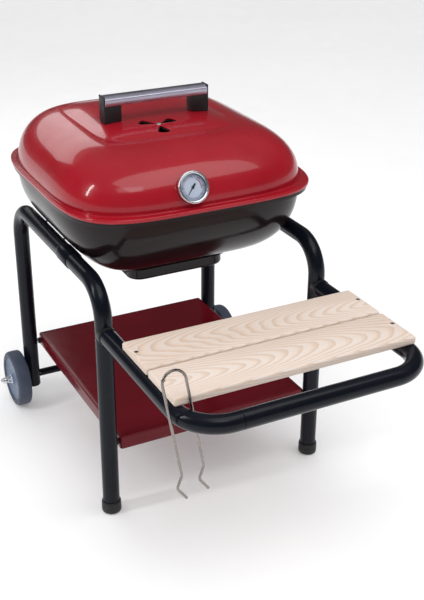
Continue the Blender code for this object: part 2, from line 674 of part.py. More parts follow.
grate("cooking_grate", 0.2820, 0.2780, 3.6, COOK_GRATE_Z, 17, 0.005, (-0.09, 0.09))
grate("charcoal_grate", 0.2400, 0.2370, 4.8, COAL_GRATE_Z, 9, 0.006, (-0.08, 0.08))


# ---------------------------------------------------------------- lid
lid_pivot = add_pivot("lid_pivot", Vector((0, BOWL_Y, LID_RIM_Z)))


def lid_shell():
    levels = [lid_crown(share) for share in (0.4, 0.8)]
    levels += [lid_level(u) for u in (1.0, 0.97, 0.89, 0.76, 0.57, 0.34, 0.13, 0.0)]
    half_x, half_y, power = LID_RIM
    top_z = LID_RIM_Z + 0.0078
    sheet = LID_SHEET
    outside = [ellipse_ring(*level) for level in levels]
    outside += [ellipse_ring(half_x - 0.0025, half_y - 0.0025, power, BOWL_Y, top_z),
                ellipse_ring(half_x, half_y, power, BOWL_Y, top_z - 0.0025),
                ellipse_ring(half_x, half_y, power, BOWL_Y, LID_RIM_Z),
                ellipse_ring(half_x - sheet, half_y - sheet, power, BOWL_Y, LID_RIM_Z),
                ellipse_ring(half_x - sheet, half_y - sheet, power, BOWL_Y, top_z - 0.003),
                ellipse_ring(half_x - 0.004, half_y - 0.004, power, BOWL_Y, top_z - sheet)]
    inner = []
    for i in range(len(levels) - 1, -1, -1):
        half_x, half_y, power, centre, z = levels[i]
        before, after = levels[max(i - 1, 0)], levels[min(i + 1, len(levels) - 1)]
        run = Vector((after[0] - before[0], after[4] - before[4])).normalized()
        in_x, in_z = abs(run.y) * sheet * 1.1, abs(run.x) * sheet
        if z == LID_BASE[3]:
            in_x, in_z = sheet, sheet
        inner.append((half_x - in_x, half_y - in_x, power, centre, z - in_z))
    return skin(outside + [ellipse_ring(*level) for level in inner])


lid = add_object("lid_shell", lid_shell(), LID_RED, parent=lid_pivot)

VENT_AXIS = Vector((0, -math.sin(VENT_TILT), math.cos(VENT_TILT)))
VENT_TOP = Vector((VENT_X, VENT_Y, lid_top_z(VENT_X, VENT_Y)))


def petal(angle):
    """A vent opening: narrow by the rivet, widening to an arc at its outer end."""
    shape = []
    for share, spread in ((0.0, 10), (0.55, 20), (0.9, 19)):
        radius = VENT_INNER_R + (VENT_R - VENT_INNER_R) * share
        shape.append((radius, -spread))
    shape += [(VENT_R, -12), (VENT_R + 0.001, 0), (VENT_R, 12)]
    for share, spread in ((0.9, 19), (0.55, 20), (0.0, 10)):
        radius = VENT_INNER_R + (VENT_R - VENT_INNER_R) * share
        shape.append((radius, spread))
    return [(r * math.cos(math.radians(angle + s)), r * math.sin(math.radians(angle + s)))
            for r, s in shape]


def vent_cutters(low, high):
    shapes = [prism(petal(angle), VENT_TOP, VENT_AXIS, low, high) for angle in PETAL_ANGLES]
    shapes.append(rod(VENT_TOP, VENT_AXIS, 0.0030, low, high))
    return join_shapes(shapes)


cut(lid, vent_cutters(-0.012, 0.008), "cut_lid_vent")
DAMPER_TOP = -DAMPER_DROP
damper_place = VENT_TOP + VENT_AXIS * DAMPER_TOP
damper = add_object("vent_damper", rod(VENT_TOP, VENT_AXIS, DAMPER_R, DAMPER_TOP - 0.0012,
                                       DAMPER_TOP, 28), STEEL, origin=damper_place, parent=lid_pivot)
cut(damper, vent_cutters(DAMPER_TOP - 0.004, DAMPER_TOP + 0.003), "cut_damper_vent")
rivet = [(0, 0.0030), (0.0035, 0.0026), (0.0058, 0.0012), (0.0060, 0.0004), (0.0026, 0.0004),
         (0.0026, DAMPER_TOP - 0.0015), (0.0055, DAMPER_TOP - 0.0015),
         (0.0045, DAMPER_TOP - 0.0032), (0, DAMPER_TOP - 0.0036)]
add_object("vent_rivet", turned(rivet, VENT_TOP, VENT_AXIS, 16), STEEL, parent=lid_pivot)


# ---------------------------------------------------------------- lid handle
HANDLE_FRONT = HANDLE_Y - HANDLE_BAR_D / 2
HANDLE_BACK = HANDLE_Y + HANDLE_BAR_D / 2
END_PLATE = 0.0025


def handle_bar_outline():
    """Flat front face, sloped upper front, rounded top and back."""
    low, high = HANDLE_BAR_Z, HANDLE_BAR_Z + HANDLE_BAR_H
    return [(HANDLE_FRONT + 0.0012, low), (HANDLE_FRONT, low + 0.0012),
            (HANDLE_FRONT, high - 0.0070), (HANDLE_FRONT + 0.0018, high - 0.0048),
            (HANDLE_FRONT + 0.0110, high - 0.0006), (HANDLE_FRONT + 0.0135, high),
            (HANDLE_BACK - 0.0070, high), (HANDLE_BACK - 0.0020, high - 0.0025),
            (HANDLE_BACK, high - 0.0080), (HANDLE_BACK, low + 0.0020), (HANDLE_BACK - 0.0020, low)]


bar_half = HANDLE_HALF - END_PLATE - GAP
bar = skin([[Vector((HANDLE_X + x, y, z)) for y, z in handle_bar_outline()]
            for x in (-bar_half, bar_half)])
add_object("handle_bar", bar, ALUMINIUM, parent=lid_pivot)


def handle_block(sign):
    """A block under the bar with an end plate that covers the bar's end."""
    outer = HANDLE_X + sign * HANDLE_HALF
    plate = outer - sign * END_PLATE
    inner = outer - sign * HANDLE_BLOCK
    front, back = HANDLE_FRONT + 0.0010, HANDLE_BACK - 0.0010
    under_bar = HANDLE_BAR_Z - GAP
    top = HANDLE_BAR_Z + HANDLE_BAR_H + 0.0004
    xs = (outer, plate, inner)
    bm = bmesh.new()
    rows = []
    for y in (front, back):
        foot = [bm.verts.new((x, y, lid_top_z(x, y) + 0.0011)) for x in xs]
        middle = [bm.verts.new((x, y, under_bar)) for x in xs]
        rows.append((foot, middle, [bm.verts.new((x, y, top)) for x in xs[:2]]))
    for foot, middle, head in rows:
        bm.faces.new((foot[0], foot[1], middle[1], middle[0]))
        bm.faces.new((foot[1], foot[2], middle[2], middle[1]))
        bm.faces.new((middle[0], middle[1], head[1], head[0]))
    (f0, m0, h0), (f1, m1, h1) = rows
    for a, b in ((f0[0], f1[0]), (f0[1], f1[1])):
        i = 0 if a is f0[0] else 1
        bm.faces.new((f0[i], f0[i + 1], f1[i + 1], f1[i]))
    bm.faces.new((f0[0], m0[0], m1[0], f1[0]))
    bm.faces.new((m0[0], h0[0], h1[0], m1[0]))
    bm.faces.new((h0[0], h0[1], h1[1], h1[0]))
    bm.faces.new((h0[1], m0[1], m1[1], h1[1]))
    bm.faces.new((m0[1], m0[2], m1[2], m1[1]))
    bm.faces.new((m0[2], f0[2], f1[2], m1[2]))
    return bm


lid_holes = []
for side, sign in SIDES.items():
    block = add_object(f"handle_block_{side}", handle_block(sign), PLASTIC_BLACK, parent=lid_pivot)
    screw_x = HANDLE_X + sign * (HANDLE_HALF - HANDLE_BLOCK / 2)
    top_z = lid_top_z(screw_x, HANDLE_Y)
    place = Vector((screw_x, HANDLE_Y, top_z))
    head = -LID_SHEET - 0.0016
    screw = [(0, head - 0.0035), (0.0045, head - 0.0028), (0.0055, head - 0.0015), (0.0055, head),
             (0.0022, head), (0.0022, 0.016), (0, 0.018)]
    add_object(f"handle_screw_{side}", turned(screw, place, (0, 0, 1), 12), STEEL,
               parent=lid_pivot)
    cut(block, rod(place, (0, 0, 1), 0.0026, -0.004, 0.020), f"cut_block_{side}")
    lid_holes.append(rod(place, (0, 0, 1), 0.0028, -0.006, 0.004))
cut(lid, join_shapes(lid_holes), "cut_lid_handle")


# ---------------------------------------------------------------- thermometer
def lid_front_y(z):
    u = (z - LID_BASE[3]) / (LID_TOP[3] - LID_BASE[3])
    half_x, half_y, power, centre, _ = lid_level(u)
    return centre - half_y * (1 - abs(THERMO_X / half_x) ** power) ** (1 / power)


THERMO_AXIS = Vector((0, -math.cos(THERMO_TILT), math.sin(THERMO_TILT)))
THERMO_WALL = Vector((THERMO_X, lid_front_y(THERMO_Z), THERMO_Z))
THERMO_BACK = THERMO_WALL + THERMO_AXIS * THERMO_STANDOFF

case = [(0, 0), (THERMO_R - 0.003, 0), (THERMO_R - 0.0005, 0.0015), (THERMO_R, 0.0035),
        (THERMO_R, 0.0082), (THERMO_R - 0.0015, 0.0104), (THERMO_R - 0.0040, 0.0106),
        (0.0290, 0.0094), (0.0290, 0.0083), (0.0308, 0.0083), (0.0308, 0.0015), (0, 0.0015)]
add_object("thermometer_case", turned(case, THERMO_BACK, THERMO_AXIS, 24), CHROME,
           parent=lid_pivot)
add_object("thermometer_dial", rod(THERMO_BACK, THERMO_AXIS, 0.0303, 0.0018, 0.0026, 24),
           DIAL_WHITE, parent=lid_pivot)
add_object("thermometer_lens", rod(THERMO_BACK, THERMO_AXIS, 0.0303, 0.0068, 0.0080, 24),
           LENS_GLASS, parent=lid_pivot)

NEEDLE_ANGLE = math.radians(-132)
dial_right = Vector((1, 0, 0))
dial_up = THERMO_AXIS.cross(dial_right).normalized()


def needle_outline():
    """Long tapered end, round hub, short counterweight, along the first axis."""
    hub = [(0.0022 * math.cos(a), 0.0022 * math.sin(a))
           for a in (math.radians(d) for d in (30, 60, 90, 120, 150))]
    upper = [(0.0215, 0.0002)] + hub + [(-0.0105, 0.0009)]
    return upper + [(x, -y) for x, y in reversed(upper)]


def needle_bmesh():
    along = dial_right * math.cos(NEEDLE_ANGLE) + dial_up * math.sin(NEEDLE_ANGLE)
    across = THERMO_AXIS.cross(along)
    return skin([[THERMO_BACK + THERMO_AXIS * h + along * x + across * y
                  for x, y in needle_outline()] for h in (0.0030, 0.0037)])


add_object("thermometer_needle", needle_bmesh(), NEEDLE_BLACK,
           origin=THERMO_BACK + THERMO_AXIS * 0.003, parent=lid_pivot)
stem = [(0, -GAP), (0.0040, -GAP), (0.0040, -0.012), (0.0028, -0.0125), (0.0028, -0.070),
        (0.0012, -0.0745), (0, -0.075)]
add_object("thermometer_probe", turned(stem, THERMO_BACK, THERMO_AXIS, 14), STEEL,
           parent=lid_pivot)
nut_from = -THERMO_STANDOFF - LID_SHEET - 0.0030
nut_ring = [(0.0050, nut_from), (0.0085, nut_from), (0.0085, nut_from - 0.0045),
            (0.0050, nut_from - 0.0045)]
add_object("thermometer_nut", turned(nut_ring, THERMO_BACK, THERMO_AXIS, 6, True), STEEL,
           parent=lid_pivot)
cut(lid, rod(THERMO_WALL, THERMO_AXIS, 0.0048, -0.010, 0.006), "cut_lid_thermometer")


# ---------------------------------------------------------------- grate lifter
def lifter_leg(foot, z):
    return Vector((foot.x + LIFTER_LEAN * (LOOP_Z - z), foot.y, z))


def lifter_centreline():
    """From one hooked end up over the arch and down to the other end."""
    outer, inner = LIFTER_OUTER, LIFTER_INNER
    knee_z, hook_z, end_z = LIFTER_KINK_Z

    def hooked_end(foot):
        end = lifter_leg(foot, end_z)
        hook = lifter_leg(foot, hook_z) - Vector((LIFTER_KINK, 0, 0))
        return [end, hook, lifter_leg(foot, knee_z)]

    left, right = lifter_leg(outer, LIFTER_ARCH_Z), lifter_leg(inner, LIFTER_ARCH_Z)
    middle, half = (left + right) / 2, (right - left) / 2
    rise = Vector((-LIFTER_LEAN, 0, 1)).normalized() * half.length
    arch = [middle - half * math.cos(math.pi * k / 10) + rise * math.sin(math.pi * k / 10)
            for k in range(11)]
    return hooked_end(outer) + arch + list(reversed(hooked_end(inner)))


def wire(points, radius, sides=8):
    """A solid round wire through the points, its rings turned square to the path."""
    rings = []
    side = Vector((0, 1, 0))
    for i, point in enumerate(points):
        before = points[max(i - 1, 0)]
        after = points[min(i + 1, len(points) - 1)]
        direction = (after - before).normalized()
        side = (side - direction * side.dot(direction)).normalized()
        rings.append(circle_on(point, direction, side, radius, sides))
    return skin(rings)


add_object("grate_lifter", wire(lifter_centreline(), LIFTER_WIRE_R), STEEL,
           origin=Vector((LIFTER_OUTER.x, LIFTER_OUTER.y, LIFTER_ARCH_Z)))
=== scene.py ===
"""Looks of a square lidded charcoal grill on a wheeled tube frame.

Pieces are in metres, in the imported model's frame. Each fine piece stands for the plain node of the same part.
"""
from math import copysign, cos, pi, radians, sin, tan, tau

import bmesh
import bpy
from mathutils import Matrix, Vector


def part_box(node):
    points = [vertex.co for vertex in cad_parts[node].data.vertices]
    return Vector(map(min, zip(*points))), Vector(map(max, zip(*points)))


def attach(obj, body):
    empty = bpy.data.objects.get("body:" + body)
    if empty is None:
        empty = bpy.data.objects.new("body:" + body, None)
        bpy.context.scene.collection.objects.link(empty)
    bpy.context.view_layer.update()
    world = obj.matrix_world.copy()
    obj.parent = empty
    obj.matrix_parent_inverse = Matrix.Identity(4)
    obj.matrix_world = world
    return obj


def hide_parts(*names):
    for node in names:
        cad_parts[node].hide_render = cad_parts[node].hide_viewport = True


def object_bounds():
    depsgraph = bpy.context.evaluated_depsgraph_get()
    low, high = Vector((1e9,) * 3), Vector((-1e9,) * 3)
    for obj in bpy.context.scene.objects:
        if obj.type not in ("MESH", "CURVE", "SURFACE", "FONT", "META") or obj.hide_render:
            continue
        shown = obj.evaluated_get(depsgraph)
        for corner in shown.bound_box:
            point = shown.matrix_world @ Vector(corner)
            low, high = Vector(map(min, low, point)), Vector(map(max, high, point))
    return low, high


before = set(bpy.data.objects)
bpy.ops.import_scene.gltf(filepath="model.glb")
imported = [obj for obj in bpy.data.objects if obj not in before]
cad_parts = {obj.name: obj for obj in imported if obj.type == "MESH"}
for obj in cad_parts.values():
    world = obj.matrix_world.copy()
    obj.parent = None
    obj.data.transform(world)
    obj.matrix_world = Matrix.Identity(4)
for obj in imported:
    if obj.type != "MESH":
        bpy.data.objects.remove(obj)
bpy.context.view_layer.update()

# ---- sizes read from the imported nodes
FLOOR_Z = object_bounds()[0].z


def middle(node):
    low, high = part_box(node)
    return (low + high) / 2


def size(node):
    low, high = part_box(node)
    return high - low


LEG_X = middle("front_foot_right").x
FRONT_Y = middle("front_foot_right").y
REAR_Y = middle("rear_plug_right").y
TUBE_R = size("front_leg_right").x / 2
RAIL_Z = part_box("front_leg_right")[1].z - TUBE_R
SEAM_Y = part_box("rear_leg_right")[0].y
SOCKET_R = size("rear_leg_right").x / 2 - 0.0001
FOOT_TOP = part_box("front_foot_right")[1].z
FOOT_R = size("front_foot_right").x / 2
REAR_END_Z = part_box("rear_leg_right")[0].z
AXLE_Z = middle("wheel_right").z
LOOP_Z = middle("shelf_loop_right").z
LOOP_FRONT_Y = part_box("shelf_loop_right")[0].y + TUBE_R
ARM_START_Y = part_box("shelf_loop_right")[1].y
LOOP_SEAM_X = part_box("shelf_loop_right")[0].x
BOWL_Y = middle("lid_shell").y
LEG_BEND_R = 0.075
LOOP_BEND_R = 0.083
TUBE_WALL = 0.0015
SHEET = 0.0015

# The rounded-square outlines: half width, half depth, power, height.
LID_BASE = (0.2878, 0.282, 3.8, 0.694)
LID_TOP = (0.1631, 0.1699, 5.6, 0.7996)
LID_TOP_SHIFT = 0.049
LID_CROWN = 0.0107
LID_RIM = (0.2962, 0.3049, 4.43)
LID_RIM_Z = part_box("lid_shell")[0].z
BOWL_UPPER = (0.291, 0.2885, 3.6, 0.678)
BOWL_LOWER = (0.184, 0.187, 7.0, 0.5283)
BOWL_CROWN = 0.01
BOWL_LIP = (0.293, 0.3015, 4.4)
BOWL_LIP_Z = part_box("bowl_shell")[1].z
BOWL_LIP_DROP = 0.017
RING_POINTS = 160
SHARP_ANGLE = 32


# ---- material kit
class Look:
    """A Principled material in the model's own coordinates, with short calls for the nodes that feed it."""

    def __init__(self, name, roughness=0.4, metallic=0.0, colour=(0.5, 0.5, 0.5), **sockets):
        self.material = bpy.data.materials.new(name)
        self.material.use_nodes = True
        self.tree = self.material.node_tree
        self.shader = self.tree.nodes["Principled BSDF"]
        self.shader.inputs["Base Color"].default_value = (*colour, 1.0)
        self.shader.inputs["Roughness"].default_value = roughness
        self.shader.inputs["Metallic"].default_value = metallic
        for socket, value in sockets.items():
            self.shader.inputs[socket.replace("_", " ")].default_value = value
        self.position = self.node("ShaderNodeTexCoord").outputs["Object"]

    def node(self, kind, **settings):
        made = self.tree.nodes.new(kind)
        for name, value in settings.items():
            setattr(made, name, value)
        return made

    def link(self, source, target):
        self.tree.links.new(source, target)

    def feed(self, *pairs):
        """Each value, an output, a number or a colour, goes to its socket."""
        for value, socket in pairs:
            if isinstance(value, bpy.types.NodeSocket):
                self.link(value, socket)
            else:
                socket.default_value = (*value, 1.0) if isinstance(value, tuple) else value

    def drift(self, factor, first, second, start=0.3, stop=0.7):
        """The colour wanders between two colours with the factor."""
        return self.mix(self.ramp(factor, (start, 0.0), (stop, 1.0)), first, second)

    def mapped(self, scale=(1, 1, 1), rotation=(0, 0, 0), location=(0, 0, 0)):
        mapping = self.node("ShaderNodeMapping")
        mapping.inputs["Scale"].default_value = scale
        mapping.inputs["Rotation"].default_value = rotation
        mapping.inputs["Location"].default_value = location
        self.link(self.position, mapping.inputs["Vector"])
        return mapping.outputs["Vector"]

    def noise(self, scale, detail=3.0, roughness=0.5, vector=None, distortion=0.0):
        made = self.node("ShaderNodeTexNoise")
        made.inputs["Scale"].default_value = scale
        made.inputs["Detail"].default_value = detail
        made.inputs["Roughness"].default_value = roughness
        made.inputs["Distortion"].default_value = distortion
        self.link(vector or self.position, made.inputs["Vector"])
        return made.outputs["Fac"]

    def ramp(self, factor, *stops):
        """Stops are (position, colour or grey)."""
        made = self.node("ShaderNodeValToRGB")
        elements = made.color_ramp.elements
        while len(elements) < len(stops):
            elements.new(0.5)
        for element, (position, value) in zip(elements, stops):
            colour = (value,) * 3 if isinstance(value, (int, float)) else value
            element.position = position
            element.color = (*colour, 1.0)
        self.link(factor, made.inputs["Fac"])
        return made.outputs["Color"]

    def mix(self, factor, first, second, blend="MIX"):
        """First and second are outputs or colours."""
        made = self.node("ShaderNodeMix", data_type="RGBA", blend_type=blend)
        self.feed((factor, made.inputs[0]), (first, made.inputs[6]), (second, made.inputs[7]))
        return made.outputs[2]

    def math(self, operation, first, second=0.0):
        made = self.node("ShaderNodeMath", operation=operation)
        self.feed((first, made.inputs[0]), (second, made.inputs[1]))
        return made.outputs[0]

    def colour(self, output):
        self.link(output, self.shader.inputs["Base Color"])

    def roughness(self, factor, low, high):
        self.link(self.ramp(factor, (0.3, low), (0.7, high)), self.shader.inputs["Roughness"])

    def bump(self, *layers):
        """Layers are (height, depth in metres), finest last."""
        normal = None
        for height, depth in layers:
            made = self.node("ShaderNodeBump")
            made.inputs["Distance"].default_value = depth
            self.link(height, made.inputs["Height"])
            if normal is not None:
                self.link(normal, made.inputs["Normal"])
            normal = made.outputs["Normal"]
        self.link(normal, self.shader.inputs["Normal"])


# ---- materials
def shade(colour, share):
    return tuple(c * share for c in colour)


def enamel(name, colour, deep, roughness, coat, specular, peel=0.000006):
    """Fired enamel: slow colour drift, faint specks, orange peel and a clear gloss."""
    look = Look(name, roughness, Coat_Weight=coat, Coat_Roughness=0.05, Coat_IOR=1.42,
                Specular_IOR_Level=specular)
    body = look.drift(look.noise(5.0), deep, colour, 0.35, 0.65)
    specks = look.ramp(look.noise(900.0, 2.0), (0.74, 0.0), (0.8, 1.0))
    look.colour(look.mix(specks, body, shade(deep, 0.45)))
    look.roughness(look.noise(28.0, 4.0), roughness * 0.85, roughness * 1.3)
    look.bump((look.noise(160.0, 2.0), peel), (look.noise(900.0, 2.0), peel * 0.3))
    return look.material


def tube_paint():
    """Black stoved paint with a bluish sheen, a little orange peel and rubbed patches."""
    look = Look("tube_black_paint", 0.25, Specular_IOR_Level=0.2)
    look.colour(look.drift(look.noise(14.0, 5.0, 0.6), (0.0042, 0.0052, 0.0095),
                           (0.0062, 0.0076, 0.0135), 0.45, 0.75))
    look.roughness(look.noise(45.0, 5.0, 0.65), 0.2, 0.25)
    look.bump((look.noise(420.0, 2.0), 0.000006))
    return look.material


def tray_paint():
    """Dark red satin paint with faint rub marks along the tray."""
    look = Look("tray_red_paint", 0.3, Specular_IOR_Level=0.25)
    body = look.drift(look.noise(7.0, 4.0), (0.105, 0.0036, 0.008), (0.13, 0.0046, 0.01))
    rubbed = look.noise(1.0, 6.0, 0.7, look.mapped((40.0, 6.0, 6.0), (0, 0, 0.5)))
    look.colour(look.mix(look.ramp(rubbed, (0.62, 0.0), (0.85, 0.12)), body, (0.3, 0.08, 0.08)))
    look.roughness(look.noise(35.0, 5.0, 0.6), 0.11, 0.18)
    look.bump((look.noise(420.0, 2.0), 0.00001))
    return look.material


def pine(name, pith_y, tilt, offset):
    """Sawn pine: growth rings about a pith that runs askew under the plank, pores and soft stains."""
    look = Look(name, 0.55, Specular_IOR_Level=0.35)
    wander = look.noise(1.0, 3.0, 0.5, look.mapped((2.2, 9.0, 9.0), (0, 0, 0), (offset, 0, 0)))
    wobble = look.node("ShaderNodeMix", data_type="VECTOR")
    wobble.inputs["Factor"].default_value = 0.016
    warped = look.node("ShaderNodeTexNoise")
    warped.inputs["Scale"].default_value = 1.0
    warped.inputs["Detail"].default_value = 1.0
    look.link(look.mapped((3.0, 14.0, 14.0), (0, 0, 0), (offset, 0, 0)), warped.inputs["Vector"])
    aligned = look.mapped((1, 1, 1), (0, tilt, 0.03), (0.0, -pith_y, -0.425))
    look.link(aligned, wobble.inputs["A"])
    look.link(warped.outputs["Color"], wobble.inputs["B"])
    rings = look.node("ShaderNodeTexWave", wave_type="RINGS", rings_direction="X",
                      wave_profile="SAW")
    rings.inputs["Scale"].default_value = 74.0
    rings.inputs["Distortion"].default_value = 0.9
    rings.inputs["Detail"].default_value = 2.0
    rings.inputs["Detail Scale"].default_value = 1.5
    look.link(wobble.outputs["Result"], rings.inputs["Vector"])
    bands = look.ramp(rings.outputs["Fac"], (0.0, (0.74, 0.69, 0.65)),
                      (0.45, (0.76, 0.665, 0.59)), (0.9, (0.64, 0.505, 0.4)),
                      (0.99, (0.72, 0.65, 0.6)))
    fibres = look.noise(1.0, 5.0, 0.7, look.mapped((35.0, 1300.0, 1300.0)))
    fibred = look.mix(look.ramp(fibres, (0.35, 0.28), (0.7, 0.0)), bands, (0.58, 0.45, 0.36))
    pores = look.noise(1.0, 2.0, 0.5, look.mapped((55.0, 900.0, 900.0), (0, 0, 0), (offset, 1, 0)))
    pored = look.mix(look.ramp(pores, (0.7, 0.0), (0.8, 0.45)), fibred, (0.38, 0.25, 0.17))
    stain = look.ramp(wander, (0.35, (1.0, 0.98, 0.97)), (0.68, (0.9, 0.84, 0.8)))
    look.colour(look.mix(1.0, pored, stain, "MULTIPLY"))
    look.roughness(fibres, 0.46, 0.66)
    look.bump((rings.outputs["Fac"], 0.00012), (fibres, 0.0001), (pores, 0.00006))
    return look.material


def brushed(name, colour, roughness, along, depth=0.00002):
    """Metal with fine brush lines that run along one axis."""
    look = Look(name, roughness, 1.0, colour)
    scale = [1500.0, 1500.0, 1500.0]
    scale[along] = 12.0
    lines = look.noise(1.0, 4.0, 0.7, look.mapped(tuple(scale)))
    clouds = look.noise(18.0, 3.0)
    look.colour(look.drift(lines, shade(colour, 0.86), colour))
    look.roughness(look.math("MULTIPLY", look.math("ADD", lines, clouds), 0.5),
                   roughness * 0.75, roughness * 1.3)
    look.bump((lines, depth))
    return look.material


def plated(name, colour, roughness, cloud=0.85):
    """Plated steel: faint clouds, tiny pits, soft polish marks."""
    look = Look(name, roughness, 1.0, colour)
    clouds = look.noise(60.0, 4.0, 0.6)
    look.colour(look.drift(clouds, shade(colour, cloud), colour))
    look.roughness(look.noise(240.0, 4.0, 0.6), roughness * 0.8, roughness * 1.3)
    look.bump((look.noise(900.0, 3.0), 0.000003))
    return look.material


def moulded(name, colour, light, roughness, grain=1400.0, depth=0.00005):
    """Moulded plastic: fine spark-eroded grain and slightly uneven colour."""
    look = Look(name, roughness, Specular_IOR_Level=0.4)
    clouds = look.noise(40.0, 4.0, 0.6)
    look.colour(look.drift(clouds, colour, light, 0.35))
    look.roughness(look.noise(90.0, 4.0), roughness * 0.85, roughness * 1.2)
    look.bump((look.noise(grain, 3.0, 0.6), depth))
    return look.material


def printed(name, colour, roughness=0.5):
    """Matt printing ink or paper with a faint fibre."""
    look = Look(name, roughness)
    fibre = look.noise(1600.0, 3.0)
    look.colour(look.drift(fibre, shade(colour, 0.9), colour))
    look.bump((fibre, 0.00001))
    return look.material


def clear_glass():
    look = Look("lens_glass", 0.03, 0.0, (0.1, 0.12, 0.15), Alpha=0.06, Specular_IOR_Level=0.5)
    look.roughness(look.noise(150.0, 2.0), 0.015, 0.04)
    return look.material


RED = enamel("lid_red_enamel", (0.33, 0.006, 0.015), (0.28, 0.0042, 0.0115), 0.22, 0.75, 0.2)
BLACK = enamel("bowl_black_enamel", (0.0115, 0.0066, 0.0074), (0.008, 0.0046, 0.0052), 0.15, 0.0,
               0.24)
TUBE = tube_paint()
TRAY = tray_paint()
PLASTIC = moulded("black_plastic", (0.0085, 0.0085, 0.0095), (0.014, 0.014, 0.016), 0.42)
TYRE = moulded("wheel_tyre_plastic", (0.046, 0.057, 0.09), (0.056, 0.069, 0.108), 0.5, 1000.0)
# The disc is the wheel's blue-grey plastic painted lighter than the tyre: a painted reflection on its recessed
# face.
DISC_PAINTED_REFLECTION = moulded("wheel_disc_painted_reflection", (0.125, 0.165, 0.245), (0.15, 0.195, 0.285), 0.38, 1200.0)
ALUMINIUM = brushed("handle_aluminium", (0.6, 0.58, 0.7), 0.3, 0)
STEEL = plated("zinc_steel", (0.56, 0.57, 0.58), 0.32)
WIRE = plated("bright_wire", (0.3, 0.27, 0.25), 0.28)
CHROME = plated("chrome", (0.78, 0.8, 0.84), 0.26, 0.95)
DIAL = printed("dial_card", (0.53, 0.6, 0.74))
INK = printed("dial_ink", (0.012, 0.012, 0.018))
# Dark grey for the ring round the dial: painted shade, the shadow under the bezel's lip.
RING_PAINTED_SHADE = printed("dial_ring_painted_shade", (0.085, 0.105, 0.155))
BAND_GREY = printed("dial_band_grey", (0.33, 0.39, 0.51))
RED_INK = printed("dial_red_ink", (0.42, 0.05, 0.03))
GLASS = clear_glass()


# ---- mesh kit
def solid(bm, name, material):
    bmesh.ops.recalc_face_normals(bm, faces=bm.faces)
    mesh = bpy.data.meshes.new(name)
    bm.to_mesh(mesh)
    bm.free()
    mesh.materials.append(material)
    obj = bpy.data.objects.new(name, mesh)
    bpy.context.scene.collection.objects.link(obj)
    return obj


def smooth(obj, sharp=SHARP_ANGLE):
    obj.data.shade_smooth()
    obj.data.set_sharp_from_angle(angle=radians(sharp))


def place(bm, name, material, body, *nodes, slot=None, sharp=SHARP_ANGLE):
    """Make the piece, ride it on its body and let it stand for the named nodes."""
    obj = solid(bm, name, material)
    smooth(obj, sharp)
    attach(obj, body)
    if nodes:
        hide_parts(*nodes)
    return obj


def paint(node, material):
    """A node whose CAD shape is right keeps it and gets its material."""
    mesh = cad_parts[node].data
    mesh.materials.clear()
    mesh.materials.append(material)


def skin(rings, loop=False):
    """Join rings of points, in order. A ring of one point is a pole; loop joins last to first."""
    bm = bmesh.new()
    made = [[bm.verts.new(p) for p in ring] for ring in rings]
    pairs = list(zip(made, made[1:]))
    if loop:
        pairs.append((made[-1], made[0]))
    for first, second in pairs:
        count = max(len(first), len(second))
        for i in range(count):
            j = (i + 1) % count
            corners = []
            for vert in (first[i % len(first)], first[j % len(first)],
                         second[j % len(second)], second[i % len(second)]):
                if vert not in corners:
                    corners.append(vert)
            bm.faces.new(corners)
    if not loop:
        for ring in (made[0], made[-1]):
            if len(ring) > 2:
                bm.faces.new(ring)
    return bm


def frame_of(axis):
    return Vector((0, 0, 1)).rotation_difference(Vector(axis).normalized()).to_matrix()


def turned(profile, place_at, axis, sides=64, closed=False):
    """A turned solid: profile is (radius, distance along axis), or with "hex" for a six-sided ring."""
    turn = frame_of(axis)
    rings = []
    for radius, height, *shape in profile:
        ring = []
        for k in range(sides if radius > 0 else 1):
            angle = tau * k / sides
            reach = radius
            if shape:
                reach = radius * cos(pi / 6) / cos(angle % (pi / 3) - pi / 6)
            ring.append(Vector(place_at) + turn @ Vector((reach * cos(angle),
                                                          reach * sin(angle), height)))
        rings.append(ring)
    return skin(rings, closed)


def polar(radius, degrees):
    return radius * cos(radians(degrees)), radius * sin(radians(degrees))


def near(out, up, *steps):
    """Points of a profile, each so many millimetres outwards and upwards from one place."""
    return [(out + step_out / 1000, up + step_up / 1000) for step_out, step_up in steps]


def arc(centre_r, centre_h, radius, start, stop, steps=5):
    """Points of a fillet in a turned profile, angles in degrees from the outward direction."""
    turns = [polar(radius, start + (stop - start) * k / steps) for k in range(steps + 1)]
    return [(centre_r + out, centre_h + up) for out, up in turns]


def quarter(radius, *degrees):
    """Insets and drops round an edge of this radius, from 0 degrees on the flat to 90 on the side."""
    return [(radius * (1 - sin(radians(a))), radius * (1 - cos(radians(a)))) for a in degrees]


def ellipse_ring(half_x, half_y, power, centre_y, z, count=RING_POINTS):
    """A rounded square, a superellipse, with its points spread evenly by direction."""
    ring = []
    for k in range(count):
        angle = tau * k / count
        c, s = cos(angle), sin(angle)
        reach = (abs(c / half_x) ** power + abs(s / half_y) ** power) ** (-1 / power)
        ring.append(Vector((reach * c, centre_y + reach * s, z)))
    return ring


def rounded_rect(half_x, half_y, radius, centre, z, steps=8):
    ring = []
    for corner, (sx, sy) in enumerate(((1, 1), (-1, 1), (-1, -1), (1, -1))):
        for k in range(steps + 1):
            angle = pi / 2 * (corner + k / steps)
            ring.append(Vector((centre.x + sx * (half_x - radius) + radius * cos(angle),
                                centre.y + sy * (half_y - radius) + radius * sin(angle), z)))
    return ring


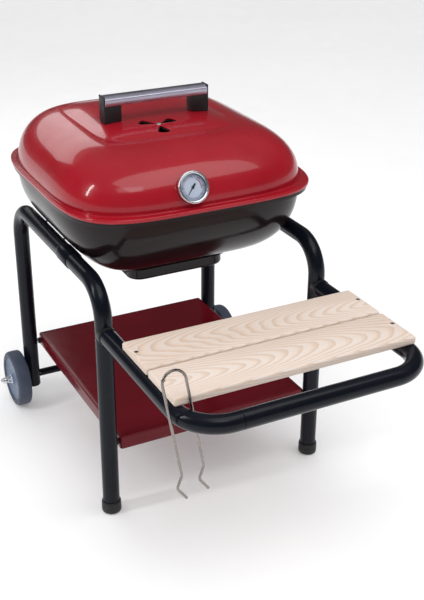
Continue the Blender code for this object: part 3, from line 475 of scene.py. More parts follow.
def route(corners, bend_r, steps=18):
    """Straight runs joined by arcs of bend_r, as (point, direction) stations."""
    stations = [(corners[0], (corners[1] - corners[0]).normalized())]
    for before, corner, after in zip(corners, corners[1:], corners[2:]):
        along = (corner - before).normalized()
        away = (after - corner).normalized()
        turn = along.angle(away)
        inward = (away - along * along.dot(away)).normalized()
        start = corner - along * bend_r * tan(turn / 2)
        centre = start + inward * bend_r
        for k in range(steps + 1):
            angle = turn * k / steps
            point = centre + bend_r * (along * sin(angle) - inward * cos(angle))
            stations.append((point, along * cos(angle) + inward * sin(angle)))
    stations.append((corners[-1], (corners[-1] - corners[-2]).normalized()))
    return stations


def circle_on(point, direction, side, radius, sides):
    up = direction.cross(side).normalized()
    return [point + radius * (side * cos(tau * k / sides)
                              + up * sin(tau * k / sides)) for k in range(sides)]


def pipe(stations, side, sides=48):
    """A tube through (point, direction, outside radius, inside radius) stations."""
    outer = [circle_on(p, d, side, r_out, sides) for p, d, r_out, r_in in stations]
    inner = [circle_on(p, d, side, r_in, sides) for p, d, r_out, r_in in reversed(stations)]
    return skin(outer + inner, loop=True)


def plain(stations):
    return [(point, direction, TUBE_R, TUBE_R - TUBE_WALL) for point, direction in stations]


def bevelled_box(low, high, bevel, segments=4):
    bm = bmesh.new()
    bmesh.ops.create_cube(bm, size=1.0)
    bmesh.ops.scale(bm, verts=bm.verts, vec=Vector(high) - Vector(low))
    bmesh.ops.translate(bm, verts=bm.verts, vec=(Vector(high) + Vector(low)) / 2)
    bmesh.ops.bevel(bm, geom=bm.edges, offset=bevel, segments=segments, profile=0.5,
                    affect="EDGES")
    return bm


def merged(shapes):
    """All the shapes in one, each with its faces turned outwards."""
    whole = bmesh.new()
    for shape in shapes:
        bmesh.ops.recalc_face_normals(shape, faces=shape.faces)
        mesh = bpy.data.meshes.new("part")
        shape.to_mesh(mesh)
        shape.free()
        whole.from_mesh(mesh)
        bpy.data.meshes.remove(mesh)
    return whole


def cut(target, *shapes):
    """Cut shapes out of a piece, for good."""
    mesh = bpy.data.meshes.new("cutter")
    whole = merged(shapes)
    whole.to_mesh(mesh)
    whole.free()
    cutter = bpy.data.objects.new("cutter", mesh)
    bpy.context.scene.collection.objects.link(cutter)
    modifier = target.modifiers.new("cut", "BOOLEAN")
    modifier.operation = "DIFFERENCE"
    modifier.object = cutter
    bpy.context.view_layer.update()
    evaluated = target.evaluated_get(bpy.context.evaluated_depsgraph_get())
    cut_mesh = bpy.data.meshes.new_from_object(evaluated)
    target.modifiers.clear()
    old, target.data = target.data, cut_mesh
    bpy.data.meshes.remove(old)
    bpy.data.objects.remove(cutter)
    smooth(target)


def rod(radius, start, end, place_at, axis, sides):
    return turned([(radius, start), (radius, end)], place_at, axis, sides)


def prism(outline, place_at, axis, start, end):
    turn = frame_of(axis)
    return skin([[Vector(place_at) + turn @ Vector((x, y, h)) for x, y in outline]
                 for h in (start, end)])


# ---- surfaces of lid and bowl
def lid_level(share):
    """Lid outline for share of the way (0 foot, 1 top edge), along a curve with no crowded end."""
    wide = cos(pi / 2 * share)
    u = (1 - wide * wide) ** (1 / 2.2)
    half_x, half_y, power = (LID_TOP[i] + (LID_BASE[i] - LID_TOP[i]) * wide for i in range(3))
    return (half_x, half_y, power, BOWL_Y + LID_TOP_SHIFT * (1 - wide),
            LID_BASE[3] + (LID_TOP[3] - LID_BASE[3]) * u)


def lid_crown(share):
    half_x, half_y, power, z = LID_TOP
    return (half_x * share, half_y * share, power, BOWL_Y + LID_TOP_SHIFT,
            z + LID_CROWN * (1 - share ** 4))


def lid_top_z(x, y):
    half_x, half_y, power, z = LID_TOP
    reach = (abs(x / half_x) ** power
             + abs((y - BOWL_Y - LID_TOP_SHIFT) / half_y) ** power) ** (1 / power)
    return z + LID_CROWN * (1 - reach ** 4)


def bowl_level(share):
    """Bowl outline, from under the lip (0) down to the edge of its floor (1)."""
    u = sin(pi / 2 * share)
    curve = max(0.0, 1 - u * u)
    shares = (curve ** 0.74, curve ** 0.795, curve ** 0.795)
    half_x, half_y, power = (BOWL_LOWER[i] + (BOWL_UPPER[i] - BOWL_LOWER[i]) * shares[i]
                             for i in range(3))
    return half_x, half_y, power, BOWL_Y, BOWL_UPPER[3] + (BOWL_LOWER[3] - BOWL_UPPER[3]) * u


def bowl_floor(share):
    half_x, half_y, power, z = BOWL_LOWER
    return half_x * share, half_y * share, power, BOWL_Y, z - BOWL_CROWN * (1 - share ** 2)


def offset_levels(levels, thickness, inward_z=1):
    """The same outlines moved inwards, square to the profile."""
    moved = []
    for i, (half_x, half_y, power, centre, z) in enumerate(levels):
        before, after = levels[max(i - 1, 0)], levels[min(i + 1, len(levels) - 1)]
        run = Vector((abs(after[0] - before[0]), after[4] - before[4])).normalized()
        inset = abs(run.y) * thickness
        moved.append((half_x - inset, half_y - inset, power, centre,
                      z + inward_z * run.x * thickness))
    return moved


def spread(count, start=0.0, stop=1.0):
    return [start + (stop - start) * k / (count - 1) for k in range(count)]


# ---- frame tubes
ACROSS = Vector((1, 0, 0))
UP = Vector((0, 0, 1))
SIDES = {"left": -1, "right": 1}
ENDS = ("front", "rear")
FOOT_FLOOR = 0.0063
FRONT_END_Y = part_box("front_leg_right")[1].y


def on_side(sign, y, z):
    return Vector((sign * LEG_X, y, z))


def front_leg(sign):
    corners = [on_side(sign, FRONT_Y, FOOT_FLOOR), on_side(sign, FRONT_Y, RAIL_Z),
               on_side(sign, FRONT_END_Y, RAIL_Z)]
    return pipe(plain(route(corners, LEG_BEND_R)), ACROSS)


def rear_leg(sign):
    """The rear tube's front end is opened out into a socket, with a soft shoulder and a rolled mouth."""
    flare_start = SEAM_Y + 0.063
    corners = [on_side(sign, REAR_Y, REAR_END_Z), on_side(sign, REAR_Y, RAIL_Z),
               on_side(sign, flare_start, RAIL_Z)]
    stations = plain(route(corners, LEG_BEND_R))
    inner = TUBE_R + 0.0003
    for k in range(1, 6):
        ease = 0.5 - 0.5 * cos(pi * k / 5)
        stations.append((on_side(sign, flare_start - 0.0016 * k, RAIL_Z),
                         Vector((0, -1, 0)), TUBE_R + (SOCKET_R - TUBE_R) * ease,
                         TUBE_R - TUBE_WALL + (inner - TUBE_R + TUBE_WALL) * ease))
    for back, drop in ((0.0009, 0.0), (0.0003, 0.0003), (0.0, 0.0008)):
        stations.append((on_side(sign, SEAM_Y + back, RAIL_Z), Vector((0, -1, 0)),
                         SOCKET_R - drop, inner))
    return pipe(stations, ACROSS)


def foot_cap(sign):
    """A moulded cap: rounded heel, straight skirt, two shallow grip rings and a bevelled mouth."""
    bore, floor = TUBE_R + 0.0003, FOOT_FLOOR - 0.0003
    profile = [(0, 0), (FOOT_R * 0.78, 0)] + arc(FOOT_R - 0.006, 0.006, 0.006, -80, 0, 6)
    for groove in (0.015, 0.0185):
        profile += near(FOOT_R, groove, (0, -0.8), (-0.5, -0.3), (-0.5, 0.3), (0, 0.8))
    profile += near(FOOT_R, FOOT_TOP, (0, -6), (-0.9, -1.2), (-1.6, 0))
    profile += [(bore, FOOT_TOP), (bore, floor), (0, floor)]
    return turned(profile, (sign * LEG_X, FRONT_Y, 0), UP, 56)


def rear_plug(sign):
    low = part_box("rear_plug_right")[0].z
    end = REAR_END_Z
    bore = TUBE_R - TUBE_WALL - 0.0003
    profile = [(0, low), (TUBE_R * 0.45, low + 0.0002), (TUBE_R * 0.8, low + 0.0012),
               (TUBE_R * 0.95, low + 0.0026), (TUBE_R, low + 0.0042), (TUBE_R, end - 0.0003),
               (bore, end - 0.0003), (bore, end + 0.012), (0, end + 0.012)]
    return turned(profile, (sign * LEG_X, REAR_Y, 0), UP, 48)


for side, sign in SIDES.items():
    place(front_leg(sign), f"leg_front_{side}", TUBE, "frame", f"front_leg_{side}")
    place(rear_leg(sign), f"leg_rear_{side}", TUBE, "frame", f"rear_leg_{side}")
    place(foot_cap(sign), f"foot_cap_{side}", PLASTIC, "frame", f"front_foot_{side}")
    place(rear_plug(sign), f"leg_plug_{side}", PLASTIC, "frame", f"rear_plug_{side}")


# ---- shelf loop and its saddles
INSERT_END_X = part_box("shelf_loop_left")[1].x


def loop_arm(sign, end_x):
    corners = [on_side(sign, ARM_START_Y, LOOP_Z),
               on_side(sign, LOOP_FRONT_Y, LOOP_Z), Vector((end_x, LOOP_FRONT_Y, LOOP_Z))]
    return plain(route(corners, LOOP_BEND_R, 24))


def left_loop():
    """The left half ends in a swaged neck that plugs into the right half."""
    neck = TUBE_R - TUBE_WALL - 0.0004
    stations = loop_arm(-1, LOOP_SEAM_X - 0.0012)
    stations[-1] = (*stations[-1][:3], neck - TUBE_WALL)
    for x, radius in ((LOOP_SEAM_X - 0.0006, TUBE_R - 0.0005), (LOOP_SEAM_X - 0.0004, neck),
                      (INSERT_END_X, neck)):
        stations.append((Vector((x, LOOP_FRONT_Y, LOOP_Z)), ACROSS, radius, neck - TUBE_WALL))
    return pipe(stations, UP)


def right_loop():
    stations = loop_arm(1, LOOP_SEAM_X + 0.0008)
    stations.append((Vector((LOOP_SEAM_X, LOOP_FRONT_Y, LOOP_Z)), -ACROSS, TUBE_R - 0.0006,
                     TUBE_R - TUBE_WALL))
    return pipe(stations, UP)


def saddle(sign):
    """A moulded saddle that hugs the leg, with a ribbed collar and a spigot inside the arm."""
    leg_axis = on_side(sign, FRONT_Y, LOOP_Z)
    face = FRONT_Y - ARM_START_Y - 0.0003
    outer = size("loop_saddle_right").x / 2
    bore = 0.003
    profile = [(0, 0.044), (bore, 0.044), (bore, 0.0065), (outer - 0.0012, 0.0065)]
    profile += arc(outer - 0.0012, 0.0077, 0.0012, -90, 0, 3)
    for rib in (0.0205, 0.0221, 0.0237):
        profile += near(outer, rib, (0, 0), (-0.5, 0.3), (-0.5, 0.7), (0, 1))
    profile += [(outer - 0.001, face), (0.0165, face), (0.0165, 0.053), (0.015, 0.0545), (0, 0.0545)]
    return turned(profile, leg_axis, (0, -1, 0), 56), leg_axis


place(left_loop(), "shelf_tube_left", TUBE, "frame", "shelf_loop_left")
place(right_loop(), "shelf_tube_right", TUBE, "frame", "shelf_loop_right")
for side, sign in SIDES.items():
    shape, leg_axis = saddle(sign)
    made = place(shape, f"arm_saddle_{side}", PLASTIC, "frame", f"loop_saddle_{side}")
    cut(made, rod(TUBE_R + 0.0003, -0.04, 0.04, leg_axis, UP, 96))


# ---- screws
def socket_screw(node, body, axis, head_h, shank_r):
    """A button-head screw with a hexagonal socket, in its node's box, head at the axis's far end."""
    low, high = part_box(node)
    axis = Vector(axis)
    centre = (low + high) / 2
    length = abs((high - low).dot(axis))
    head_r = sorted(high - low)[1] / 2 - 0.0001
    top = length / 2
    socket = head_r * 0.48
    profile = [(0, top - head_h * 0.55), (socket, top - head_h * 0.55, "hex"),
               (socket, top - head_h * 0.04, "hex"), (head_r * 0.62, top)]
    profile += [(head_r * (0.62 + 0.38 * sin(radians(a))),
                 top - head_h * 0.9 * (1 - cos(radians(a)))) for a in (25, 50, 72, 90)]
    profile += [(head_r, top - head_h), (shank_r, top - head_h), (shank_r, -top + 0.001),
                (shank_r - 0.0008, -top), (0, -top)]
    place(turned(profile, centre, axis, 36), node + "_fine", STEEL, body, node)


for side, sign in SIDES.items():
    for end in ENDS:
        socket_screw(f"tray_bolt_{end}_{side}", "frame", (-sign, 0, 0), 0.005, 0.0029)
    socket_screw(f"loop_bolt_{side}", "frame", (0, 1, 0), 0.0052, 0.0029)
    socket_screw(f"handle_screw_{side}", "lid", (0, 0, -1), 0.0035, 0.0022)


def wood_screw(node):
    """A countersunk screw with a cross recess."""
    low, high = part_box(node)
    centre = (low + high) / 2
    top = high.z
    head_r = (high.x - low.x) / 2
    profile = [(0, top - 0.0001), (head_r - 0.0002, top - 0.0001), (head_r, top - 0.0003),
               (head_r, top - 0.0006), (0.0019, top - 0.0031), (0.0019, low.z + 0.002), (0, low.z)]
    made = place(turned(profile, (centre.x, centre.y, 0), UP, 32), node + "_fine", STEEL, "frame",
                 node)
    for turn in (0.35, 0.35 + pi / 2):
        along = Vector((cos(turn), sin(turn)))
        across = Vector((-along.y, along.x))
        outline = [along * i * 0.0026 + across * j * 0.0005
                   for i, j in ((-1, -1), (1, -1), (1, 1), (-1, 1))]
        cut(made, prism(outline, (centre.x, centre.y, top), UP, -0.0018, 0.001))


# ---- planks
PLANK_TILTS = {"rear": (0.135, -0.262, 0.3), "front": (-0.12, -0.385, 2.1)}


def plank(end):
    """A planed plank with rounded edges, its screw holes countersunk."""
    low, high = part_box(f"plank_{end}")
    bm = bevelled_box(low, high, 0.005, 5)
    tilt, pith_y, offset = PLANK_TILTS[end]
    made = place(bm, f"shelf_plank_{end}", pine(f"pine_{end}", pith_y, tilt, offset), "frame",
                 f"plank_{end}", slot="pine")
    holes = []
    for side in SIDES:
        centre = middle(f"plank_screw_{end}_{side}")
        holes.append(turned([(0.0056, 0.001), (0.0046, -0.0006), (0.0046, -0.0011),
                             (0.0022, -0.0037), (0.0022, -0.02)],
                            (centre.x, centre.y, high.z), UP, 32))
    cut(made, *holes)


for end in ("rear", "front"):
    plank(end)
    for side in SIDES:
        wood_screw(f"plank_screw_{end}_{side}")


# ---- lower tray
def sleeve(node, bore, chamfer, sides):
    """A short tube across the frame, in its node's box, with chamfered ends."""
    half, outer = size(node).x / 2, size(node).z / 2
    ring = [(bore, -half), (outer - chamfer, -half), (outer, -half + chamfer),
            (outer, half - chamfer), (outer - chamfer, half), (bore, half)]
    return turned(ring, middle(node), ACROSS, sides, True)


def tray():
    """Folded sheet: a flat top, rounded edges and turned-down flanges with a hem."""
    low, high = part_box("lower_tray")
    half = (high - low) / 2
    centre = (high + low) / 2
    top = high.z
    outside = [(0.024, top), (0.012, top)]
    outside += [(inset, top - drop) for inset, drop in quarter(0.0035, *range(0, 91, 15))]
    outside += near(0, low.z, (0, 0.6), (0.2, 0), (1.3, 0), (1.5, 0.6))
    inside = near(0, top, (1.5, -3.5), (2.2, -2), (4, -1.5), (12, -1.5), (24, -1.5))
    rings = [rounded_rect(half.x - inset, half.y - inset, max(0.0065 - inset, 0.0012) if inset < 0.006
                          else 0.004, centre, z) for inset, z in outside + inside]
    made = place(skin(rings), "tray_pressing", TRAY, "frame", "lower_tray")
    cut(made, *[rod(0.0033, -0.03, 0.03, middle(f"tray_bolt_{end}_{side}"), ACROSS, 32)
                for side in SIDES for end in ENDS])


tray()
for side in SIDES:
    for end in ENDS:
        node = f"tray_spacer_{end}_{side}"
        place(sleeve(node, 0.0033, 0.0006, 40), f"spacer_{end}_{side}", PLASTIC, "frame", node)


# ---- axle, wheels and cap nuts
place(sleeve("axle_spacer_tube", 0.0056, 0.0005, 48), "axle_sleeve", TUBE, "frame",
      "axle_spacer_tube")
axle = middle("axle_rod")
axle_half = size("axle_rod").x / 2
place(turned([(0, -axle_half), (0.0044, -axle_half), (0.005, -axle_half + 0.0008),
              (0.005, axle_half - 0.0008), (0.0044, axle_half), (0, axle_half)],
             axle, ACROSS, 32), "axle_bar", STEEL, "frame", "axle_rod")


def wheel_parts(sign):
    """Tyre with a crowned tread and soft shoulders; disc with a dished web and a hub."""
    tyre_in, tyre_out = 0.2856, 0.3205
    radius = size("wheel_right").z / 2
    centre = Vector((0, REAR_Y, AXLE_Z))
    axis = (sign, 0, 0)
    bead_r = 0.056
    tyre = near(bead_r, tyre_in, (0, 1), (1.2, 0))
    tyre += arc(radius - 0.006, tyre_in + 0.0055, 0.0055, -90, -12, 7)
    tyre += [(radius - 0.0002, tyre_in + 0.0095), (radius, (tyre_in + tyre_out) / 2 - 0.002),
             (radius - 0.0002, tyre_out - 0.0125)]
    tyre += arc(radius - 0.009, tyre_out - 0.0085, 0.0085, 10, 84, 8)
    tyre += near(bead_r, tyre_out, (3, -0.4), (0, -2.8))
    web_in, web_out = 0.2975, 0.313
    hub_in, hub_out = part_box("wheel_right")[0].x, 0.3188
    rim = bead_r - 0.0002
    disc = near(0, hub_in, (5.6, 0), (12.5, 0), (13.2, 0.8)) + near(0, web_in, (14, -2), (16.5, 0))
    disc += near(rim, web_in, (-6, -0.5)) + near(rim, tyre_in, (-2, 6), (0, 3.5))
    disc += near(rim, tyre_out, (0, -3.4), (-1.2, -3))
    disc += near(rim, web_out, (-3, 2.2), (-6.5, 0.4), (-15, -0.6))
    disc += near(0, web_out, (30, -0.6), (20.5, 0), (15.5, 2.2))
    disc += near(0, hub_out, (13.5, -0.9), (12.6, 0), (5.6, 0))
    return (turned(tyre, centre, axis, 96, True), turned(disc, centre, axis, 96, True))


def cap_nut(sign):
    """Hexagonal flange nut with a domed cap."""
    low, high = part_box("wheel_cap_nut_right")
    start, tip = low.x, high.x
    washer_r = (high.z - low.z) / 2
    body = 0.0098
    profile = near(0, start, (0, 16.8), (5.2, 16.2), (5.2, 0))
    profile += near(washer_r, start, (0, 0), (0, 1.2), (-0.4, 1.8))
    profile += [(body, start + 0.0022), (body, start + 0.003, "hex"), (body, start + 0.0095, "hex")]
    profile += near(0, start, (8.8, 10.5), (8.4, 11.2), (8.4, 12))
    dome_start = start + 0.015
    reach = tip - dome_start
    profile += [(0.0084 * out, dome_start + reach * up)
                for out, up in (polar(1, a) for a in range(0, 90, 10))]
    profile += [(0, tip)]
    return turned(profile, (0, REAR_Y, AXLE_Z), (sign, 0, 0), 60)


for side, sign in SIDES.items():
    tyre, disc = wheel_parts(sign)
    place(tyre, f"tyre_{side}", TYRE, f"wheel_{side}", f"wheel_{side}")
    # The disc's lighter colour is a painted reflection on the same plastic as the tyre.
    place(disc, f"wheel_disc_{side}", DISC_PAINTED_REFLECTION, f"wheel_{side}")
    place(cap_nut(sign), f"cap_nut_{side}", CHROME, "frame", f"wheel_cap_nut_{side}")


# ---- bowl
def bowl():
    """Deep-drawn bowl of even sheet, its lip turned out and down behind the lid's rim."""
    wall = [bowl_floor(s) for s in (0.03, 0.2, 0.4, 0.6, 0.8, 0.93)]
    wall += [bowl_level(s) for s in reversed(spread(26))]
    half_x, half_y, power = BOWL_LIP
    top = BOWL_UPPER
    lip = BOWL_LIP_Z
    neck = (top[0] - 0.0005, top[1] + 0.001, 3.7, BOWL_Y, lip - 0.007)
    edge = near(0, lip, (2.4, -3), (1.5, -4.2))
    edge += near(0, lip - BOWL_LIP_DROP, (1.5, 1.7), (1.05, 1.5), (0.2, 1.7), (0, 2.5))
    edge += near(0, lip, (0, -2.4), (0.5, -1), (1.6, -0.2), (3, 0))
    turned_out = [(half_x - 0.005, half_y - 0.007, power, lip - 0.0024)]
    turned_out += [(half_x - inset, half_y - inset, power, z) for inset, z in edge]
    turned_out += [(neck[0] - 0.001, neck[1] - 0.0004, 3.8, lip - 0.0001),
                   (neck[0] - 0.0016, neck[1] - 0.0014, 3.7, lip - 0.0012)]
    outside = wall + [neck] + [(a, b, n, BOWL_Y, z) for a, b, n, z in turned_out]
    inside = [(neck[0] - SHEET * 1.05, neck[1] - SHEET * 1.05, *neck[2:])]
    inside += reversed(offset_levels(wall, SHEET))
    return skin([ellipse_ring(*level) for level in outside + inside])


def slot_outline(angle):
    """One of two ash slots, wider outwards, with rounded ends."""
    out = Vector((cos(angle), sin(angle)))
    across = Vector((-out.y, out.x))
    points = []
    for centre_r, radius, start in ((0.064, 0.014, -80), (0.026, 0.0055, 100)):
        for k in range(9):
            a = radians(start + 20 * k)
            points.append(out * (centre_r + radius * cos(a)) + across * radius * sin(a))
    return [(p.x, p.y) for p in points]


bowl_piece = place(bowl(), "bowl", BLACK, "frame", "bowl_shell")
cut(bowl_piece, *[prism(slot_outline(radians(angle)), (0, BOWL_Y, 0.505), UP, 0, 0.03)
                  for angle in (90, 270)])


# ---- ash pan and grates
def ash_pan():
    low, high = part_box("ash_pan")
    centre = (low + high) / 2
    lip, bottom = high.z, low.z
    wall = (high.x - low.x) / 2 - 0.011
    turn = range(15, 91, 15)
    outside = [(-0.01, bottom, 0.02)]
    outside += [(-inset, bottom + drop, 0.029) for inset, drop in quarter(0.009, *turn)]
    outside += [(out, lip + up / 1000, radius) for out, up, radius in (
        (0, -3.8, 0.03), (0.0005, -2.3, 0.0305), (0.002, -1.5, 0.032), (0.0102, -1.5, 0.04),
        (0.011, -0.8, 0.0405), (0.0102, 0, 0.04), (0.0018, 0, 0.032), (-0.0002, -0.8, 0.03),
        (-0.0015, -3, 0.029))]
    inside = [(-0.0015 - inset, bottom + SHEET + drop, 0.028)
              for inset, drop in quarter(0.0075, *reversed(turn))]
    inside += [(-0.01, bottom + SHEET, 0.02)]
    return skin([rounded_rect(wall + out, wall + out, radius, centre, z)
                 for out, z, radius in outside + inside])


def wire(points, radius, sides):
    """A round wire through the points, its rings turned square to the path."""
    rings = []
    side = Vector((0, 1, 0))
    for before, point, after in zip(points[:1] + points, points, points[1:] + points[-1:]):
        direction = (after - before).normalized()
        if abs(direction.dot(side)) > 0.9:
            side = Vector((1, 0, 0)) if abs(direction.x) < 0.5 else UP
        side = (side - direction * side.dot(direction)).normalized()
        rings.append(circle_on(point, direction, side, radius, sides))
    return skin(rings)


def grate(node, power, bars, ribs):
    """A welded grate: an edge wire, bars front to back and two cross wires."""
    low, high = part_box(node)
    half_x, half_y = (high.x - low.x) / 2, (high.y - low.y) / 2
    z, thick = (low.z + high.z) / 2, (high.z - low.z) / 2
    full_x = half_x / 0.93
    edge_x = half_x - thick * 0.9

    def reach(x):
        return half_y * (1 - abs(x / full_x) ** power) ** (1 / power) - thick

    shapes = []
    for x in spread(bars, -edge_x, edge_x):
        shapes.append(wire([Vector((x, BOWL_Y + way * reach(x), z)) for way in (-1, 1)],
                           thick * 0.88, 10))
    for y in ribs:
        shapes.append(wire([Vector((way * edge_x, BOWL_Y + y, z)) for way in (-1, 1)],
                           thick * 0.8, 10))
    for way in (-1, 1):
        shapes.append(wire([Vector((x, BOWL_Y + way * reach(x), z))
                            for x in spread(9, -edge_x, edge_x)], thick * 0.9, 10))
    return merged(shapes)


place(ash_pan(), "ash_catcher", BLACK, "ash_pan", "ash_pan")
place(grate("cooking_grate", 3.6, 17, (-0.09, 0.09)), "grate_upper", STEEL, "frame",
      "cooking_grate")
place(grate("charcoal_grate", 4.8, 9, (-0.08, 0.08)), "grate_lower", STEEL, "frame",
      "charcoal_grate")


# ---- lid
def lid():
    """Pressed lid: domed plateau, deep round shoulders, a beaded flange with a rolled edge."""
    dome = [lid_crown(s) for s in (0.03, 0.15, 0.3, 0.45, 0.6, 0.72, 0.82, 0.9, 0.96)]
    dome += [lid_level(s) for s in spread(44, 1.0, 0.0)]
    top = LID_RIM_Z + 0.0078
    base, rim = LID_BASE, LID_RIM

    def between(share, inset=0.0):
        return [base[i] + (rim[i] - base[i]) * share - (inset if i < 2 else 0) for i in range(3)]

    flange = [(between(share), top + up / 1000) for share, up in (
        (0.05, -0.1), (0.12, 0), (0.16, 0.8), (0.22, 1.1), (0.28, 0.8), (0.32, 0), (0.4, -0.1),
        (0.6, -0.1))]
    edge = [(inset, top - drop) for inset, drop in quarter(0.003, *range(0, 91, 15))]
    edge += near(0, LID_RIM_Z, (0, 0.6), (0.4, 0), (1.1, 0), (1.5, 0.6))
    edge += near(0, top, (1.5, -3.4), (2.7, -2.1), (4, -1.5))
    flange += [(between(1, inset), z) for inset, z in edge] + [(between(0.1), top - SHEET)]
    outside = [ellipse_ring(*level) for level in dome]
    outside += [ellipse_ring(*outline, BOWL_Y, z) for outline, z in flange]
    inside = [ellipse_ring(*level) for level in reversed(offset_levels(dome, SHEET, -1))]
    return skin(outside + inside)


VENT_TILT = radians(4.5)
VENT_AXIS = Vector((0, -sin(VENT_TILT), cos(VENT_TILT)))
VENT_TOP = Vector((-0.016, 0.157, lid_top_z(-0.016, 0.157)))
PETAL_ANGLES = (22, 142, 262)


def petal(angle):
    """A vent opening: narrow by the rivet, widening to a rounded outer end."""
    sides = []
    for share, width in ((0.0, 7.0), (0.03, 11.0), (0.1, 13.5), (0.25, 16.0), (0.4, 18.5),
                         (0.55, 20.0), (0.7, 20.0), (0.82, 19.6), (0.91, 18.6), (0.965, 16.5),
                         (0.99, 13.0), (1.02, 8.0)):
        sides.append((0.01 + 0.036 * share, width))
    shape = [(r, -width) for r, width in sides] + sides[::-1]
    return [polar(r, angle + width) for r, width in shape]


def vent_holes(low, high):
    return [prism(petal(angle), VENT_TOP, VENT_AXIS, low, high) for angle in PETAL_ANGLES]


THERMO_AXIS = Vector((0, -cos(radians(24)), sin(radians(24))))
THERMO_BACK = Vector((-0.0405, -0.0593, 0.7336))
lid_piece = place(lid(), "lid", RED, "lid", "lid_shell")
lid_holes = vent_holes(-0.012, 0.008)
lid_holes.append(rod(0.003, -0.012, 0.008, VENT_TOP, VENT_AXIS, 24))
lid_holes.append(rod(0.0048, -0.013, 0.004, THERMO_BACK, THERMO_AXIS, 32))
for side in SIDES:
    screw = middle(f"handle_screw_{side}")
    lid_holes.append(rod(0.0028, -0.02, 0.02, (screw.x, screw.y, lid_top_z(screw.x, screw.y)), UP, 24))
cut(lid_piece, *lid_holes)

DAMPER_TOP = -0.0052
damper_profile = [(0, DAMPER_TOP - 0.0012), (0.0502, DAMPER_TOP - 0.0012),
                  (0.0509, DAMPER_TOP - 0.0008), (0.0509, DAMPER_TOP - 0.0004),
                  (0.0502, DAMPER_TOP), (0, DAMPER_TOP)]
damper = place(turned(damper_profile, VENT_TOP, VENT_AXIS, 96), "damper_disc", STEEL,
               "vent_damper", "vent_damper")
cut(damper, *vent_holes(DAMPER_TOP - 0.004, DAMPER_TOP + 0.003),
    rod(0.003, -0.012, 0.003, VENT_TOP, VENT_AXIS, 24))
rivet_profile = [(0, 0.003)]
rivet_profile += [(0.006 * sin(radians(a)), 0.0004 + 0.0026 * cos(radians(a)))
                  for a in range(12, 91, 13)]
rivet_profile += [(0.0026, 0.0004), (0.0026, DAMPER_TOP - 0.0015), (0.0055, DAMPER_TOP - 0.0015),
                  (0.0045, DAMPER_TOP - 0.0032), (0, DAMPER_TOP - 0.0036)]
place(turned(rivet_profile, VENT_TOP, VENT_AXIS, 40), "vent_stud", STEEL, "lid", "vent_rivet")


# ---- lid handle
def handle_bar():
    """Extruded bar: flat front, sloped upper front, rounded top and back, softened ends."""
    low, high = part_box("handle_bar")
    front, back, bottom, top = low.y, high.y, low.z, high.z
    outline = near(front, bottom, (1, 0), (0.3, 0.3), (0, 1))
    outline += near(front, top, (0, -7.2), (0.3, -6.2), (1.8, -4.8), (11, -0.6), (12.2, -0.2),
                    (14, 0))
    outline += near(back, top, (-7, 0), (-4.6, -0.6), (-2.2, -2.3), (-0.6, -4.8), (0, -8))
    outline += near(back, bottom, (0, 2), (-0.6, 0.6), (-2, 0))
    middle_y, middle_z = (front + back) / 2, (bottom + top) / 2
    rings = []
    for x, shrink in ((low.x, 0.0004), (low.x + 0.0005, 0.0), (high.x - 0.0005, 0.0),
                      (high.x, 0.0004)):
        rings.append([Vector((x, y - copysign(shrink, y - middle_y),
                              z - copysign(shrink, z - middle_z))) for y, z in outline])
    return skin(rings)


def softened(node, name, material, body, slot, width, segments=3):
    """The node's own shape with its sharp edges rounded."""
    bm = bmesh.new()
    bm.from_mesh(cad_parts[node].data)
    bmesh.ops.remove_doubles(bm, verts=bm.verts, dist=0.00002)
    bmesh.ops.dissolve_limit(bm, angle_limit=radians(2), verts=bm.verts, edges=bm.edges)
    edges = [e for e in bm.edges if len(e.link_faces) == 2 and e.calc_length() > 0.006
             and e.calc_face_angle(0) > radians(40)]
    bmesh.ops.bevel(bm, geom=edges, offset=width, segments=segments, profile=0.5, affect="EDGES",
                    clamp_overlap=True)
    return place(bm, name, material, body, node, slot=slot)


place(handle_bar(), "lid_handle_bar", ALUMINIUM, "lid", "handle_bar", sharp=24)
for side in SIDES:
    softened(f"handle_block_{side}", f"handle_mount_{side}", PLASTIC, "lid", "black_plastic",
             0.0009)


# ---- thermometer
CASE_R = 0.035
case_profile = [(0, 0)] + near(
    CASE_R, 0, (-3, 0), (-1.4, 0.6), (-0.4, 1.8), (0, 3.5), (0, 7.8), (-0.3, 9), (-1.2, 10.1),
    (-2.5, 10.6), (-3.8, 10.5), (-5, 10), (-6, 9.4), (-6.1, 8.3), (-4.2, 8.3), (-4.2, 1.5))
case_profile += [(0, 0.0015)]
place(turned(case_profile, THERMO_BACK, THERMO_AXIS, 96), "gauge_case", CHROME, "lid",
      "thermometer_case")
place(turned([(0, 0.0018), (0.0302, 0.0018), (0.0302, 0.0026), (0, 0.0026)], THERMO_BACK,
             THERMO_AXIS, 96), "gauge_dial", DIAL, "lid", "thermometer_dial")
place(turned([(0, 0.0068), (0.0302, 0.0068), (0.0302, 0.0073), (0.0296, 0.0075),
              (0.02, 0.0078), (0.01, 0.00795), (0, 0.008)], THERMO_BACK, THERMO_AXIS, 96),
      "gauge_lens", GLASS, "lid", "thermometer_lens")
# A ring round the dial's edge inside the case; its dark grey is painted shade from the bezel's lip.
place(turned([(0.0279, 0.0027), (0.0306, 0.0027), (0.0306, 0.0066), (0.0296, 0.0066),
              (0.028, 0.003)], THERMO_BACK, THERMO_AXIS, 96, True), "gauge_ring_painted_shade",
      RING_PAINTED_SHADE, "lid")

DIAL_RIGHT = Vector((1, 0, 0))
DIAL_UP = THERMO_AXIS.cross(DIAL_RIGHT).normalized()
DIAL_FACE = 0.0026


def on_dial(radius, degrees, height=DIAL_FACE):
    angle = radians(degrees)
    return (THERMO_BACK + THERMO_AXIS * height
            + radius * (DIAL_RIGHT * cos(angle) + DIAL_UP * sin(angle)))


